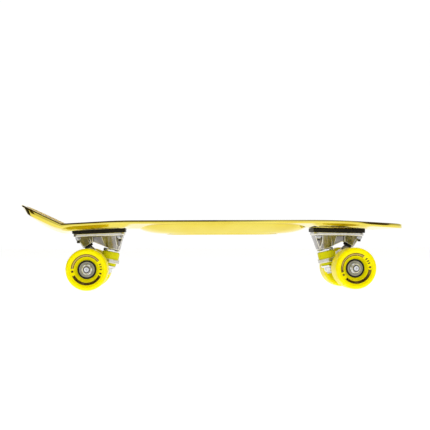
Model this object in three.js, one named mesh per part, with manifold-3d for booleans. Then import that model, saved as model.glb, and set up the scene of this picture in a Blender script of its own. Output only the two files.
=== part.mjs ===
// Cruiser skateboard: a moulded plastic deck on two cast trucks with four soft wheels.
// Millimetres. +X points to the nose, +Y to the left of the board, +Z up.
// The origin is on the floor, under the middle of the deck's length and width.
import * as THREE from "three";
import { mergeVertices } from "three/addons/utils/BufferGeometryUtils.js";
import Module from "manifold-3d";

const wasm = await Module();
wasm.setup();

// Clearances
const seatGap = 0.3; // between pieces that rest on or in one another
const cutOverrun = 2; // how far a cutting tool runs past the face that it cuts

// Deck, seen from above
const deckLength = 559.2;
const deckWidth = 152.4;
const tailTaper = 6.6; // how much narrower each side is at the tail
const tailPowers = [24, 2]; // a squared end with round corners
const nosePowers = [3, 2]; // a rounded nose
const noseOverhang = 82.5; // nose tip to front axle
const tailOverhang = 97.9; // tail tip to rear axle

// Deck, seen from the side
const deckSeatThickness = 10.1; // deck over the front truck's seat
const kickLength = 62.5; // tail tip to the knee of the kicked tail
const kickAngle = 25.6;
const kneeBlend = 2.5; // half of the length over which the knee bends
const rearSlopeLength = 79; // knee to where the deck levels out
const rearSlopeAngle = 3.1;
const rearSlopeBlend = 20;
const noseDropLength = 114; // nose tip to where the deck starts to fall
const noseDropAngle = 2.6;
const noseDropBlend = 30;

// Deck, in cross-section
const edgeThickness = 4.8;
const tailEdgeThickness = 9.2;
const tailEdgeLength = 80; // tail tip to where the edge starts to thicken
const noseEdgeThickness = 6.3;
const noseEdgeLength = 75; // the same from the nose tip
const edgeRounding = 2.4;
const undersideDrop = 6; // the edge's lower lip to the core's underside
const noseUndersideDrop = 5; // the same past the hull, towards the nose
const undersideRun = 44; // edge to where the underside reaches the core's depth
const fullSideRun = 15; // the same over the trucks, where the underside is fuller
const fullSideInset = 5; // full sides end this far inside the riser pads
const fullSideBlend = 8; // half of the length over which the full sides end
const tailFullness = 0.35; // the tail's share of that fullness
const spineInset = 45; // how far the ends of the middle line stay from the tips

// Hull-shaped stiffener under the deck
const hullTailEnd = 165.7; // from the tail tip
const hullNoseEnd = 142.5; // from the nose tip
const hullEdgeInset = 5.5; // from the deck's side edge
const hullDepth = 19.5; // from the deck's top
const hullWallRun = 26; // how far the wall leans inward at the sides
const hullWallPower = 1.25; // 1 is a straight side wall, more starts it steeper
const hullEndRun = 44; // how far the wall curves inward at the hull's ends
const hullPower = 3.6;
const hullRimWidth = 6;
const hullPanelDepth = 10.5; // sunken panel inside the rim
const hullPanelDraft = 3;

// Riser pad and the flat seat that it lies on
const padOverhang = 1.5; // beyond the baseplate on every side
const padThickness = 5.8;
const padCorner = 6;
const seatMargin = 1.5; // flat seat beyond the pad
const seatWall = 1.5; // material kept beyond the flat seat
const seatBackingDepth = 4;
const seatBackingDraft = 1.6; // how far the backing widens over that depth

// Truck, measured from its axle: inward is towards the board's middle
const frontTilt = 1.4; // how far its seat falls towards the board's end
const rearTilt = 2.1;
const truckHeight = 51; // axle to the baseplate's top
const baseplateInset = 16.1; // axle to the baseplate's middle
const baseplateLength = 73.5;
const baseplateWidth = 53;
const baseplateCorner = 9;
const flangeThickness = 4.5;
const boltEndMargin = 6.75; // bolt's middle to the baseplate's end
const boltSideMargin = 5.85; // bolt's middle to its side

// Kingpin boss: its face is square to the kingpin
const kingpinInset = 33.2;
const kingpinSeatDrop = 23.3; // baseplate's top to the middle of the boss face
const kingpinTilt = 14;
const kingpinBossRadius = 11.8; // half of its face's length
const kingpinBossBreadth = 31; // its face across the board
const kingpinBossWidth = 49; // where it meets the flange
const kingpinBossOuterInset = 19;
const kingpinBossInnerMargin = 1;
const kingpinBossOpenSide = 3.6; // kingpin to where the underside starts to rise
const archAngle = 24; // rise of the baseplate's underside between the bosses
const bossPower = 3.4; // 2 makes both boss faces oval, more squarer
const webWidth = 14;

// Pivot boss: its face is square to the pivot cup
const pivotOutset = 1.3;
const pivotSeatDrop = 16.6;
const pivotTilt = 29;
const pivotBossRadius = 8.6; // half of its face's length
const pivotBossBreadth = 22; // its face across the board
const pivotBossWidth = 34;
const pivotBossOuterMargin = 1.5;
const pivotBossInnerInset = 7;

// Pivot cup and the ball end of the hanger's nose
const cupRadius = 6.5;
const cupDepth = 9;
const cupCollarHeight = 3.2;
const cupMouthFlare = 0.5;
const ballRadius = 4.4;
const ballDepth = 3;
const neckRadius = 4;
const noseRootRadius = 6;
const noseRootDepth = 9;

// Kingpin stack, from the boss face down
const kingpinRadius = 4.75;
const kingpinHeadAcross = 14.3;
const kingpinHeadHeight = 6;
const kingpinPocketRadius = 9;
const kingpinPocketDepth = 10; // from the baseplate's top, along the kingpin
const kingpinTail = 2.5; // thread past the nut
const kingpinNutAcross = 14.3;
const kingpinNutHeight = 6.7;
const washerPlate = 1.5;
const washerLipWall = 1.1;
const upperWasherHeight = 3.7;
const lowerWasherHeight = 3.1;
const boardBushingRadius = 12.6;
const boardBushingLength = 13.3;
const boardBushingWaist = 1.6; // how much its ends are drawn in to fit the washer
const roadBushingRadius = 10.6;
const roadBushingLength = 6.3;
const roadBushingWaist = 1;
const yokeRadius = 14.5;
const yokeHoleRadius = 7.5;
const yokeFloor = 3.9; // between the two bushing seats
const yokeSeatDepth = 1;
const yokeSeatClearance = 0.4;

// Hanger
const hangerWidth = 80;
const hangerEndRadius = 8.5;
const hangerMiddleRadius = 10;
const hangerShoulder = 28; // middle to where the housing starts to swell
const hangerSwell = 6;
const hangerChamfer = 1;
const wingThickness = 11;
const wingSpan = 58; // width of the wing at the axle
const wingBack = 4;
const wingFront = 3;
const wingWaistReach = 22;
const wingWaistWidth = 22;
const wingFlareReach = 10;
const wingFlareWidth = 26;
const armWidth = 13;
const armYokeMargin = 0.5; // gap between the arm and the space of the bushing

// Axle, its nuts and the bearings
const axleRadius = 4;
const axleChamfer = 0.6;
const axleNutAcross = 12.7;
const axleNutHeight = 6;
const axleTail = 2.5; // thread past the nut
const washerSpace = 0.9; // room for a thin speed washer
const bearingRadius = 11;
const bearingWidth = 7;
const bearingSpacing = 10; // between the two bearings of a wheel
const threadGap = 0.3;

// Wheel
const tyreRadius = 29.5;
const tyreWidth = 45;
const treadWidth = 30;
const tyreCrestRadius = 25; // where the side face stands out most
const tyreDishRadius = 17.5; // inner edge of the dished side face
const tyreDishDepth = 4.7;
const tyreBoreMargin = 0.3; // the core stands this far out of the tyre's bore
const coreRadius = 13.1;
const coreBore = 9;

// Deck bolts
const boltRadius = 2.4;
const boltLength = 28;
const boltHeadRadius = 4.6;
const boltHeadHeight = 2.4;
const boltHeadSink = 0.4; // below the deck's top
const deckNutAcross = 8;
const deckNutHeight = 4.5;
const nutRoomRadius = 5.6; // free space for a spanner round each deck nut

// Facets
const fineSides = 32;
const roundSides = 20;
const smallSides = 16;
const boltSides = 12;
const fullSideSteps = [0.15, 0.35, 0.65, 1];
const outlineStations = 46;
const outlineSamples = 1200;
const hullSides = 44;
const hullWallSteps = 5;
const lipSteps = 3;
const cornerSteps = 4;
const bendWeight = 60; // how strongly the stations crowd where the outline or the top bends

const degrees = Math.PI / 180;
const halfLength = deckLength / 2;
const halfWidth = deckWidth / 2;
const tan = (angle) => Math.tan(angle * degrees);

// Helpers that turn three.js geometry into solids, which can be joined and cut
function solid(geometry) {
  const loose = geometry.index ? geometry.toNonIndexed() : geometry;
  const bare = new THREE.BufferGeometry();
  bare.setAttribute("position", loose.getAttribute("position"));
  const merged = mergeVertices(bare);
  const corners = [];
  for (let i = 0; i < merged.index.count; i += 3) {
    const [a, b, c] = [0, 1, 2].map((k) => merged.index.getX(i + k));
    if (a !== b && b !== c && c !== a) corners.push(a, b, c);
  }
  const vertProperties = merged.getAttribute("position").array;
  const build = (triVerts) =>
    new wasm.Manifold(new wasm.Mesh({ numProp: 3, vertProperties, triVerts }));
  const made = build(new Uint32Array(corners));
  return made.volume() > 0 ? made : build(new Uint32Array(corners.reverse()));
}

function surface(made) {
  const { numProp, vertProperties, triVerts } = made.getMesh();
  const places = new Float32Array((vertProperties.length / numProp) * 3);
  for (let i = 0; i < places.length / 3; i += 1) {
    places.set(vertProperties.subarray(i * numProp, i * numProp + 3), i * 3);
  }
  const geometry = new THREE.BufferGeometry();
  geometry.setAttribute("position", new THREE.BufferAttribute(places, 3));
  geometry.setIndex(new THREE.BufferAttribute(triVerts, 1));
  const faceted = geometry.toNonIndexed();
  faceted.computeVertexNormals();
  return faceted;
}

function moved(made, matrix) {
  return solid(surface(made).applyMatrix4(matrix));
}

// A body turned about Z from [radius, height] pairs; a ring's profile closes on itself.
function turned(profile, sides) {
  const points = profile.map(([radius, height]) => new THREE.Vector2(radius, height));
  return solid(new THREE.LatheGeometry(points, sides).rotateX(Math.PI / 2));
}

function ring(profile, sides) {
  return turned([...profile, profile[0]], sides);
}

function rod(radius, low, high, sides) {
  return turned([[0, low], [radius, low], [radius, high], [0, high]], sides);
}

// A closed skin through loops of points, with the first and last loop capped.
function loft(loops) {
  const count = loops[0].length;
  const middles = [loops[0], loops.at(-1)].map((loop) =>
    loop.reduce((sum, point) => sum.add(point), new THREE.Vector3()).divideScalar(count),
  );
  const triangles = [];
  for (let i = 0; i < count; i += 1) {
    const next = (i + 1) % count;
    triangles.push(middles[0], loops[0][next], loops[0][i]);
    for (let k = 0; k + 1 < loops.length; k += 1) {
      triangles.push(loops[k][i], loops[k][next], loops[k + 1][next]);
      triangles.push(loops[k][i], loops[k + 1][next], loops[k + 1][i]);
    }
    triangles.push(middles[1], loops.at(-1)[i], loops.at(-1)[next]);
  }
  return solid(new THREE.BufferGeometry().setFromPoints(triangles));
}

function roundedRectangle(length, width, corner) {
  const shape = new THREE.Shape();
  const [x, y] = [length / 2 - corner, width / 2 - corner];
  shape.absarc(x, y, corner, 0, Math.PI / 2);
  shape.absarc(-x, y, corner, Math.PI / 2, Math.PI);
  shape.absarc(-x, -y, corner, Math.PI, 1.5 * Math.PI);
  shape.absarc(x, -y, corner, 1.5 * Math.PI, 2 * Math.PI);
  return shape;
}

function plate(shape, low, high) {
  const options = { depth: high - low, bevelEnabled: false, curveSegments: cornerSteps };
  return solid(new THREE.ExtrudeGeometry(shape, options).translate(0, 0, low));
}

// A side outline of [inward, up] pairs, spread evenly to both sides of the middle.
function slab(outline, width) {
  const shape = new THREE.Shape(outline.map(([x, z]) => new THREE.Vector2(x, z)));
  const options = { depth: width, bevelEnabled: false };
  const geometry = new THREE.ExtrudeGeometry(shape, options).rotateX(Math.PI / 2);
  return solid(geometry.translate(0, width / 2, 0));
}

function hexagon(across) {
  const radius = across / Math.sqrt(3);
  const corners = [0, 1, 2, 3, 4, 5].map((k) => (k * Math.PI) / 3);
  return new THREE.Shape(
    corners.map((a) => new THREE.Vector2(radius * Math.cos(a), radius * Math.sin(a))),
  );
}

function nut(across, height, boreRadius) {
  const bore = rod(boreRadius, -cutOverrun, height + cutOverrun, smallSides);
  return plate(hexagon(across), 0, height).subtract(bore);
}

// Finishes
const finishes = {
  goldChrome: { color: 0xd8b40f, roughness: 0.08, metalness: 1 },
  urethane: { color: 0xfff000, roughness: 0.4, metalness: 0 },
  blackPlastic: { color: 0x16151a, roughness: 0.45, metalness: 0 },
  rubber: { color: 0x1b1a18, roughness: 0.8, metalness: 0 },
  bushingUrethane: { color: 0xc8cd00, roughness: 0.45, metalness: 0 },
  castAluminium: { color: 0xb4b2aa, roughness: 0.45, metalness: 1 },
  zincSteel: { color: 0xc9ccd1, roughness: 0.28, metalness: 1 },
  blackSteel: { color: 0x1f1f21, roughness: 0.4, metalness: 1 },
};

function piece(name, made, finish) {
  const mesh = new THREE.Mesh(surface(made), new THREE.MeshStandardMaterial(finishes[finish]));
  mesh.name = name;
  return mesh;
}

// Where the trucks stand: each frame has its origin on the axle and X towards the board's middle.
const seatHeight = truckHeight + seatGap + padThickness + seatGap;

function truckMatrix(end) {
  const front = end === "front";
  const turn = new THREE.Matrix4().makeRotationZ(front ? Math.PI : 0);
  const tilt = new THREE.Matrix4().makeRotationY(-(front ? frontTilt : rearTilt) * degrees);
  const matrix = turn.multiply(tilt);
  matrix.setPosition(front ? halfLength - noseOverhang : tailOverhang - halfLength, 0, tyreRadius);
  return matrix;
}

// Height gained past a bend: none before it, a parabola through it, then a straight slope.
function bendRise(past, slope, blend) {
  if (past <= -blend) return 0;
  if (past >= blend) return slope * past;
  return (slope * (past + blend) ** 2) / (4 * blend);
}

const noseDropStart = halfLength - noseDropLength;
const kneeStart = halfLength - kickLength;
const rearSlopeStart = kneeStart - rearSlopeLength;
const frontSeatX = halfLength - noseOverhang - baseplateInset;
const rearSeatX = tailOverhang + baseplateInset - halfLength;
const noseFall = (x) => bendRise(x - noseDropStart, tan(noseDropAngle), noseDropBlend);
const frontSeat = new THREE.Vector3(baseplateInset, 0, seatHeight).applyMatrix4(
  truckMatrix("front"),
);
const crownHeight = frontSeat.z + deckSeatThickness + noseFall(frontSeat.x);

function deckTop(x) {
  const rearFall = bendRise(-x - rearSlopeStart, tan(rearSlopeAngle), rearSlopeBlend);
  const kickSlope = tan(kickAngle) + tan(rearSlopeAngle);
  const kickRise = bendRise(-x - kneeStart, kickSlope, kneeBlend);
  return crownHeight - rearFall + kickRise - noseFall(x);
}

function edgeDepth(x) {
  const [length, thickness] =
    x < 0 ? [tailEdgeLength, tailEdgeThickness] : [noseEdgeLength, noseEdgeThickness];
  const end = halfLength - spineInset;
  const share = THREE.MathUtils.smoothstep(Math.abs(x), halfLength - length, end);
  return THREE.MathUtils.lerp(edgeThickness, thickness, share);
}

// One side of the deck's outline, tail to nose, with its points crowded where it bends most.
function deckOutline() {
  const fine = [];
  for (let i = 0; i <= outlineSamples; i += 1) {
    const x = -halfLength * Math.cos((Math.PI * i) / outlineSamples);
    const [end, side] = x < 0 ? tailPowers : nosePowers;
    const narrowing = x < 0 ? (tailTaper * -x) / halfLength : 0;
    const share = Math.max(0, 1 - (Math.abs(x) / halfLength) ** end) ** (1 / side);
    fine.push(new THREE.Vector3(x, (halfWidth - narrowing) * share, deckTop(x)));
  }
  const costs = [0];
  for (let i = 1; i < fine.length; i += 1) {
    const step = fine[i].clone().sub(fine[i - 1]);
    const before = fine[i - 1].clone().sub(fine[Math.max(0, i - 2)]);
    const turn = i > 1 ? step.angleTo(before) : 0;
    costs.push(costs[i - 1] + step.length() + bendWeight * turn);
  }
  const picked = [];
  for (let k = 0; k < outlineStations; k += 1) {
    const wanted = costs.at(-1) * (k / (outlineStations - 1));
    picked.push(fine[costs.findIndex((cost) => cost >= wanted)]);
  }
  return picked;
}

// A loop of the deck's skin: the outline drawn in by an inset, a depth under the top.
function deckLoop(outline, inset, depthAt) {
  const side = outline.map(({ x, y }) => {
    const reach = halfLength - spineInset;
    const spine = new THREE.Vector2(THREE.MathUtils.clamp(x, -reach, reach), 0);
    const edge = new THREE.Vector2(x, y);
    const length = edge.distanceTo(spine);
    const place = edge.lerp(spine, Math.min(inset, length) / length);
    return new THREE.Vector3(place.x, place.y, deckTop(place.x) - depthAt(x));
  });
  const mirrored = side.slice(1, -1).reverse();
  return [...side, ...mirrored.map(({ x, y, z }) => new THREE.Vector3(x, -y, z))];
}

// How full the underside's sides are: 1 over the trucks, part of that on the tail.
function sideFullness(x) {
  const reach = baseplateLength / 2 + padOverhang - fullSideInset;
  const kneeEnd = -kneeStart - kneeBlend;
  const stretch = (start, end) => {
    const rise = THREE.MathUtils.smoothstep(x, start - fullSideBlend, start + fullSideBlend);
    return rise * (1 - THREE.MathUtils.smoothstep(x, end - fullSideBlend, end + fullSideBlend));
  };
  return Math.max(
    stretch(frontSeatX - reach, frontSeatX + reach),
    stretch(kneeEnd, rearSeatX + reach),
    tailFullness * stretch(-deckLength, kneeEnd),
  );
}

// How far the underside lies below the edge's lower lip.
function underDrop(inset, x) {
  const share = (run) =>
    THREE.MathUtils.clamp((inset - edgeRounding) / (run - edgeRounding), 0, 1);
  const full = 1 - (1 - share(fullSideRun)) ** 2;
  const reach = baseplateLength / 2 + padOverhang + seatMargin;
  const end = frontSeatX - reach;
  const forward = THREE.MathUtils.smoothstep(x, end - undersideRun, end);
  const drop = THREE.MathUtils.lerp(undersideDrop, noseUndersideDrop, forward);
  const thickening = x > 0 ? edgeDepth(x) - edgeThickness : 0;
  const fullness = THREE.MathUtils.lerp(share(undersideRun), full, sideFullness(x));
  return (drop - thickening) * fullness;
}

// The deck's plain skin: it comes to the middle line on top and underneath.
function deckSkin() {
  const outline = deckOutline();
  const loops = [deckLoop(outline, Infinity, () => 0)];
  for (const angle of [90, 45, 0, -45, -90]) {
    const inset = edgeRounding * (1 - Math.cos(angle * degrees));
    const share = (1 - Math.sin(angle * degrees)) / 2;
    loops.push(deckLoop(outline, inset, (x) => share * edgeDepth(x)));
  }
  const insets = fullSideSteps.map((step) =>
    THREE.MathUtils.lerp(edgeRounding, fullSideRun, step),
  );
  for (const inset of [...insets, undersideRun, Infinity]) {
    loops.push(deckLoop(outline, inset, (x) => edgeDepth(x) + underDrop(inset, x)));
  }
  const count = loops[0].length;
  const triangles = [];
  for (let k = 0; k + 1 < loops.length; k += 1) {
    for (let i = 0; i < count; i += 1) {
      const next = (i + 1) % count;
      triangles.push(loops[k][i], loops[k][next], loops[k + 1][next]);
      triangles.push(loops[k][i], loops[k + 1][next], loops[k + 1][i]);
    }
  }
  return solid(new THREE.BufferGeometry().setFromPoints(triangles));
}

// A blunt-ended oval loop under the deck, drawn in from the hull's root.
const hullStart = hullTailEnd - halfLength;
const hullEnd = halfLength - hullNoseEnd;

function hullLoop(sideInset, endInset, depth) {
  const middle = (hullStart + hullEnd) / 2;
  const reach = (hullEnd - hullStart) / 2 - endInset;
  const breadth = halfWidth - hullEdgeInset - sideInset;
  const loop = [];
  for (let i = 0; i < hullSides; i += 1) {
    const angle = (2 * Math.PI * (i + 0.5)) / hullSides;
    const bulge = (value) => Math.sign(value) * Math.abs(value) ** (2 / hullPower);
    const x = middle + reach * bulge(Math.cos(angle));
    loop.push(new THREE.Vector3(x, breadth * bulge(Math.sin(angle)), deckTop(x) - depth));
  }
  return loop;
}

function hull() {
  const loops = [hullLoop(0, 0, edgeThickness / 2)];
  for (let k = 0; k <= hullWallSteps; k += 1) {
    const angle = (Math.PI / 2) * (k / hullWallSteps);
    const fall = Math.sin(angle);
    const depth = edgeThickness + (hullDepth - edgeThickness) * fall;
    const side = hullWallRun * fall ** hullWallPower;
    loops.push(hullLoop(side, hullEndRun * (1 - Math.cos(angle)), depth));
  }
  return loft(loops);
}

function hullPanel() {
  const side = hullWallRun + hullRimWidth;
  const end = hullEndRun + hullRimWidth;
  const flare = (hullPanelDraft * cutOverrun) / hullPanelDepth;
  const floor = hullDepth - hullPanelDepth;
  return loft([
    hullLoop(side - flare, end - flare, hullDepth + cutOverrun),
    hullLoop(side + hullPanelDraft, end + hullPanelDraft, floor),
  ]);
}

// Bolt places in a truck's frame
function boltPlaces() {
  const reach = baseplateLength / 2 - boltEndMargin;
  const side = baseplateWidth / 2 - boltSideMargin;
  return [1, -1].flatMap((along) =>
    [1, -1].map((across) => [baseplateInset + along * reach, across * side]),
  );
}

// The height over the axle, in a truck's frame, at which a bolt line leaves the deck's top.
function boltTop(end, [x, y]) {
  const matrix = truckMatrix(end);
  let height = seatHeight;
  for (let i = 0; i < 5; i += 1) {
    const place = new THREE.Vector3(x, y, height).applyMatrix4(matrix);
    height += deckTop(place.x) - place.z;
  }
  return height;
}

function boltCutter(end, [x, y]) {
  const top = boltTop(end, [x, y]) - boltHeadSink;
  const shank = boltRadius + seatGap;
  const head = boltHeadRadius + seatGap;
  const neck = top - boltHeadHeight - seatGap;
  const profile = [
    [0, -cutOverrun], [shank, -cutOverrun], [shank, neck], [head, top],
    [head, top + boltHeadSink + cutOverrun], [0, top + boltHeadSink + cutOverrun],
  ];
  const hole = turned(profile, boltSides);
  return moved(hole, truckMatrix(end).multiply(new THREE.Matrix4().makeTranslation(x, y, 0)));
}

function padShape(margin) {
  const length = baseplateLength + 2 * (padOverhang + margin);
  const width = baseplateWidth + 2 * (padOverhang + margin);
  return roundedRectangle(length, width, padCorner + margin);
}

function seatMatrix(end) {
  return truckMatrix(end).multiply(new THREE.Matrix4().makeTranslation(baseplateInset, 0, 0));
}

function seatRoom(end) {
  return moved(plate(padShape(seatMargin), truckHeight, seatHeight), seatMatrix(end));
}

// The thicker floor over a seat, which widens towards the deck's top.
function seatBacking(end) {
  const loops = [0, 1].map((share) => {
    const shape = padShape(seatMargin + seatWall + share * seatBackingDraft);
    const height = seatHeight + share * seatBackingDepth;
    const points = shape.extractPoints(cornerSteps).shape.slice(0, 4 * (cornerSteps + 1));
    return points.map((point) => new THREE.Vector3(point.x, point.y, height));
  });
  return moved(loft(loops), seatMatrix(end));
}

function deck() {
  let body = deckSkin().add(hull()).subtract(hullPanel());
  for (const end of ["front", "rear"]) {
    body = body.add(seatBacking(end)).subtract(seatRoom(end));
    for (const place of boltPlaces()) body = body.subtract(boltCutter(end, place));
  }
  return body;
}

// Frames inside a truck: Z runs up the kingpin, or up into the pivot cup.
const kingpinFace = new THREE.Vector3(kingpinInset, 0, truckHeight - kingpinSeatDrop);
const kingpinMatrix = new THREE.Matrix4().makeRotationY(kingpinTilt * degrees);
kingpinMatrix.setPosition(kingpinFace);
const pivotFace = new THREE.Vector3(-pivotOutset, 0, truckHeight - pivotSeatDrop);
const pivotMatrix = new THREE.Matrix4().makeRotationY(-pivotTilt * degrees);
pivotMatrix.setPosition(pivotFace);

// A place in a truck's side view, from a place in the kingpin's or the pivot's frame.
function sidePlace(matrix, x, z) {
  const place = new THREE.Vector3(x, 0, z).applyMatrix4(matrix);
  return [place.x, place.z];
}

// Levels of the kingpin stack, as depths under the boss face
const upperWasherTop = seatGap;
const boardBushingTop = upperWasherTop + washerPlate + seatGap;
const boardBushingEnd = boardBushingTop + boardBushingLength;
const yokeFloorTop = boardBushingEnd + seatGap;
const yokeTop = yokeFloorTop - yokeSeatDepth;
const yokeFloorEnd = yokeFloorTop + yokeFloor;
const yokeEnd = yokeFloorEnd + yokeSeatDepth;
const roadBushingTop = yokeFloorEnd + seatGap;
const roadBushingEnd = roadBushingTop + roadBushingLength;
const lowerWasherPlate = roadBushingEnd + seatGap;
const lowerWasherEnd = lowerWasherPlate + washerPlate;
const kingpinNutTop = lowerWasherEnd + seatGap;
const kingpinNutEnd = kingpinNutTop + kingpinNutHeight;
const kingpinHoleRadius = kingpinRadius + seatGap;

// Depths of the kingpin's head over the boss face, along the kingpin
const kingpinTopLength = kingpinSeatDrop / Math.cos(kingpinTilt * degrees);
const kingpinPocketFloor = kingpinTopLength - kingpinPocketDepth;

// A loop round a boss face, between an oval and a rectangle.
function bossLoop(matrix, reach, breadth, height) {
  const loop = [];
  for (let i = 0; i < roundSides; i += 1) {
    const angle = (2 * Math.PI * (i + 0.5)) / roundSides;
    const [along, across] = [Math.cos(angle), Math.sin(angle)].map(
      (value) => Math.sign(value) * Math.abs(value) ** (2 / bossPower),
    );
    loop.push(new THREE.Vector3(reach * along, breadth * across, height).applyMatrix4(matrix));
  }
  return loop;
}

// A loop round a rectangle, its points in step with a circle's.
function rectangleLoop(outer, inner, width, height, sides) {
  const loop = [];
  for (let i = 0; i < sides; i += 1) {
    const angle = (2 * Math.PI * (i + 0.5)) / sides;
    const [across, along] = [Math.sin(angle), Math.cos(angle)];
    const reach = 1 / Math.max(Math.abs(across), Math.abs(along));
    const x = (outer + inner) / 2 + ((inner - outer) / 2) * along * reach;
    loop.push(new THREE.Vector3(x, (width / 2) * across * reach, height));
  }
  return loop;
}

// Everything under the baseplate: the kingpin's face, the rise between the bosses, the pivot's face.
function baseplateUnderside() {
  const far = baseplateLength;
  const start = sidePlace(kingpinMatrix, -kingpinBossOpenSide, 0);
  const slope = [Math.cos(pivotTilt * degrees), Math.sin(pivotTilt * degrees)];
  const gapAtFace = start[1] + (start[0] - pivotFace.x) * tan(archAngle) - pivotFace.z;
  const along = gapAtFace / (slope[1] + slope[0] * tan(archAngle));
  return slab(
    [
      sidePlace(kingpinMatrix, far, 0),
      start,
      sidePlace(pivotMatrix, along, 0),
      sidePlace(pivotMatrix, -far, 0),
      [-far, -far],
      [far, -far],
    ],
    baseplateWidth,
  );
}

function baseplate() {
  const low = truckHeight - flangeThickness;
  const inner = baseplateInset + baseplateLength / 2;
  const outer = baseplateInset - baseplateLength / 2;
  const flangeShape = roundedRectangle(baseplateLength, baseplateWidth, baseplateCorner);
  const flange = plate(flangeShape, low, truckHeight);
  const buried = low + flangeThickness / 2;
  const kingpinBoss = loft([
    rectangleLoop(
      kingpinBossOuterInset, inner - kingpinBossInnerMargin, kingpinBossWidth, buried, roundSides,
    ),
    bossLoop(kingpinMatrix, kingpinBossRadius, kingpinBossBreadth / 2, -cutOverrun),
  ]);
  const pivotBoss = loft([
    rectangleLoop(
      outer + pivotBossOuterMargin, pivotBossInnerInset, pivotBossWidth, buried, roundSides,
    ),
    bossLoop(pivotMatrix, pivotBossRadius, pivotBossBreadth / 2, -cutOverrun),
  ]);
  const web = slab(
    [
      [pivotFace.x, buried], [pivotFace.x, pivotFace.z],
      [kingpinInset, kingpinFace.z], [kingpinInset, buried],
    ],
    webWidth,
  );
  let body = flange.translate(baseplateInset, 0, 0).add(kingpinBoss).add(pivotBoss).add(web);
  body = body.subtract(baseplateUnderside());
  const kingpinRoom = turned(
    [
      [0, -cutOverrun], [kingpinHoleRadius, -cutOverrun], [kingpinHoleRadius, kingpinPocketFloor],
      [kingpinPocketRadius, kingpinPocketFloor],
      [kingpinPocketRadius, kingpinTopLength + kingpinPocketRadius],
      [0, kingpinTopLength + kingpinPocketRadius],
    ],
    roundSides,
  );
  const cupRoom = rod(cupRadius + seatGap, -cutOverrun, cupDepth + seatGap, roundSides);
  body = body.subtract(moved(kingpinRoom, kingpinMatrix)).subtract(moved(cupRoom, pivotMatrix));
  for (const [x, y] of boltPlaces()) {
    const hole = rod(boltRadius + seatGap, low - cutOverrun, truckHeight + cutOverrun, boltSides);
    const nutRoom = rod(nutRoomRadius, low - kingpinSeatDrop, low, boltSides);
    body = body.subtract(hole.add(nutRoom).translate(x, y, 0));
  }
  return body;
}

function riserPad() {
  const low = truckHeight + seatGap;
  let body = plate(padShape(0), low, low + padThickness).translate(baseplateInset, 0, 0);
  for (const [x, y] of boltPlaces()) {
    const hole = rod(boltRadius + seatGap, truckHeight, seatHeight + cutOverrun, boltSides);
    body = body.subtract(hole.translate(x, y, 0));
  }
  return body;
}

// A countersunk bolt, its origin on top of its head.
function deckBolt() {
  return turned(
    [
      [0, -boltLength], [boltRadius, -boltLength], [boltRadius, -boltHeadHeight],
      [boltHeadRadius, 0], [0, 0],
    ],
    boltSides,
  );
}

function pivotCup() {
  const cavity = ballRadius + seatGap;
  const profile = [[0, ballDepth + cavity]];
  for (const angle of [67.5, 45, 22.5, 0]) {
    const [cos, sin] = [Math.cos(angle * degrees), Math.sin(angle * degrees)];
    profile.push([cavity * cos, ballDepth + cavity * sin]);
  }
  profile.push([cavity + cupMouthFlare, -cupCollarHeight]);
  profile.push([cupRadius, -cupCollarHeight], [cupRadius, cupDepth], [0, cupDepth]);
  return turned(profile, roundSides);
}

function kingpin() {
  const headLow = kingpinPocketFloor + seatGap;
  const head = plate(hexagon(kingpinHeadAcross), headLow, headLow + kingpinHeadHeight);
  const low = -(kingpinNutEnd + kingpinTail);
  return head.add(rod(kingpinRadius, low, headLow + kingpinHeadHeight / 2, smallSides));
}

// A cup washer, its plate from 0 up and its lip hanging down.
function cupWasher(bushingEndRadius, height) {
  const inner = bushingEndRadius + seatGap;
  const outer = inner + washerLipWall;
  const lip = washerPlate - height;
  return ring(
    [
      [kingpinHoleRadius, 0], [inner, 0], [inner, lip], [outer, lip],
      [outer, washerPlate / 2], [outer - washerPlate / 2, washerPlate],
      [kingpinHoleRadius, washerPlate],
    ],
    roundSides,
  );
}

// A bushing hanging from 0: the end at 0 is drawn in so that it fits inside a cup washer.
function bushing(radius, length, waist, washerHeight) {
  const lip = washerHeight - washerPlate;
  return ring(
    [
      [kingpinHoleRadius, -length], [radius, -length], [radius, -lip - waist],
      [radius - waist, -lip], [radius - waist, 0], [kingpinHoleRadius, 0],
    ],
    roundSides,
  );
}

// The hanger: housing round the axle, wing to the yoke ring, arm up to the pivot nose.
function hangerHousing() {
  const half = hangerWidth / 2;
  const right = [
    [0, -half], [hangerEndRadius - hangerChamfer, -half],
    [hangerEndRadius, hangerChamfer - half], [hangerEndRadius, -hangerShoulder],
    [hangerMiddleRadius, hangerSwell - hangerShoulder],
  ];
  const left = right.map(([radius, across]) => [radius, -across]).reverse();
  return moved(turned([...right, ...left], roundSides), acrossMatrix);
}

const acrossMatrix = new THREE.Matrix4().makeRotationX(Math.PI / 2);
const yokeMiddle = sidePlace(kingpinMatrix, 0, -(yokeTop + yokeEnd) / 2);

function hangerWing() {
  const reach = Math.hypot(...yokeMiddle);
  const shape = new THREE.Shape();
  shape.moveTo(-wingBack, -wingSpan / 2);
  shape.lineTo(wingFront, -wingSpan / 2);
  shape.quadraticCurveTo(wingFlareReach, -wingFlareWidth / 2, wingWaistReach, -wingWaistWidth / 2);
  shape.lineTo(reach, -wingWaistWidth / 2);
  shape.lineTo(reach, wingWaistWidth / 2);
  shape.lineTo(wingWaistReach, wingWaistWidth / 2);
  shape.quadraticCurveTo(wingFlareReach, wingFlareWidth / 2, wingFront, wingSpan / 2);
  shape.lineTo(-wingBack, wingSpan / 2);
  const flat = plate(shape, -wingThickness / 2, wingThickness / 2);
  const lift = Math.atan2(yokeMiddle[1], yokeMiddle[0]);
  return moved(flat, new THREE.Matrix4().makeRotationY(-lift));
}

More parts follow.
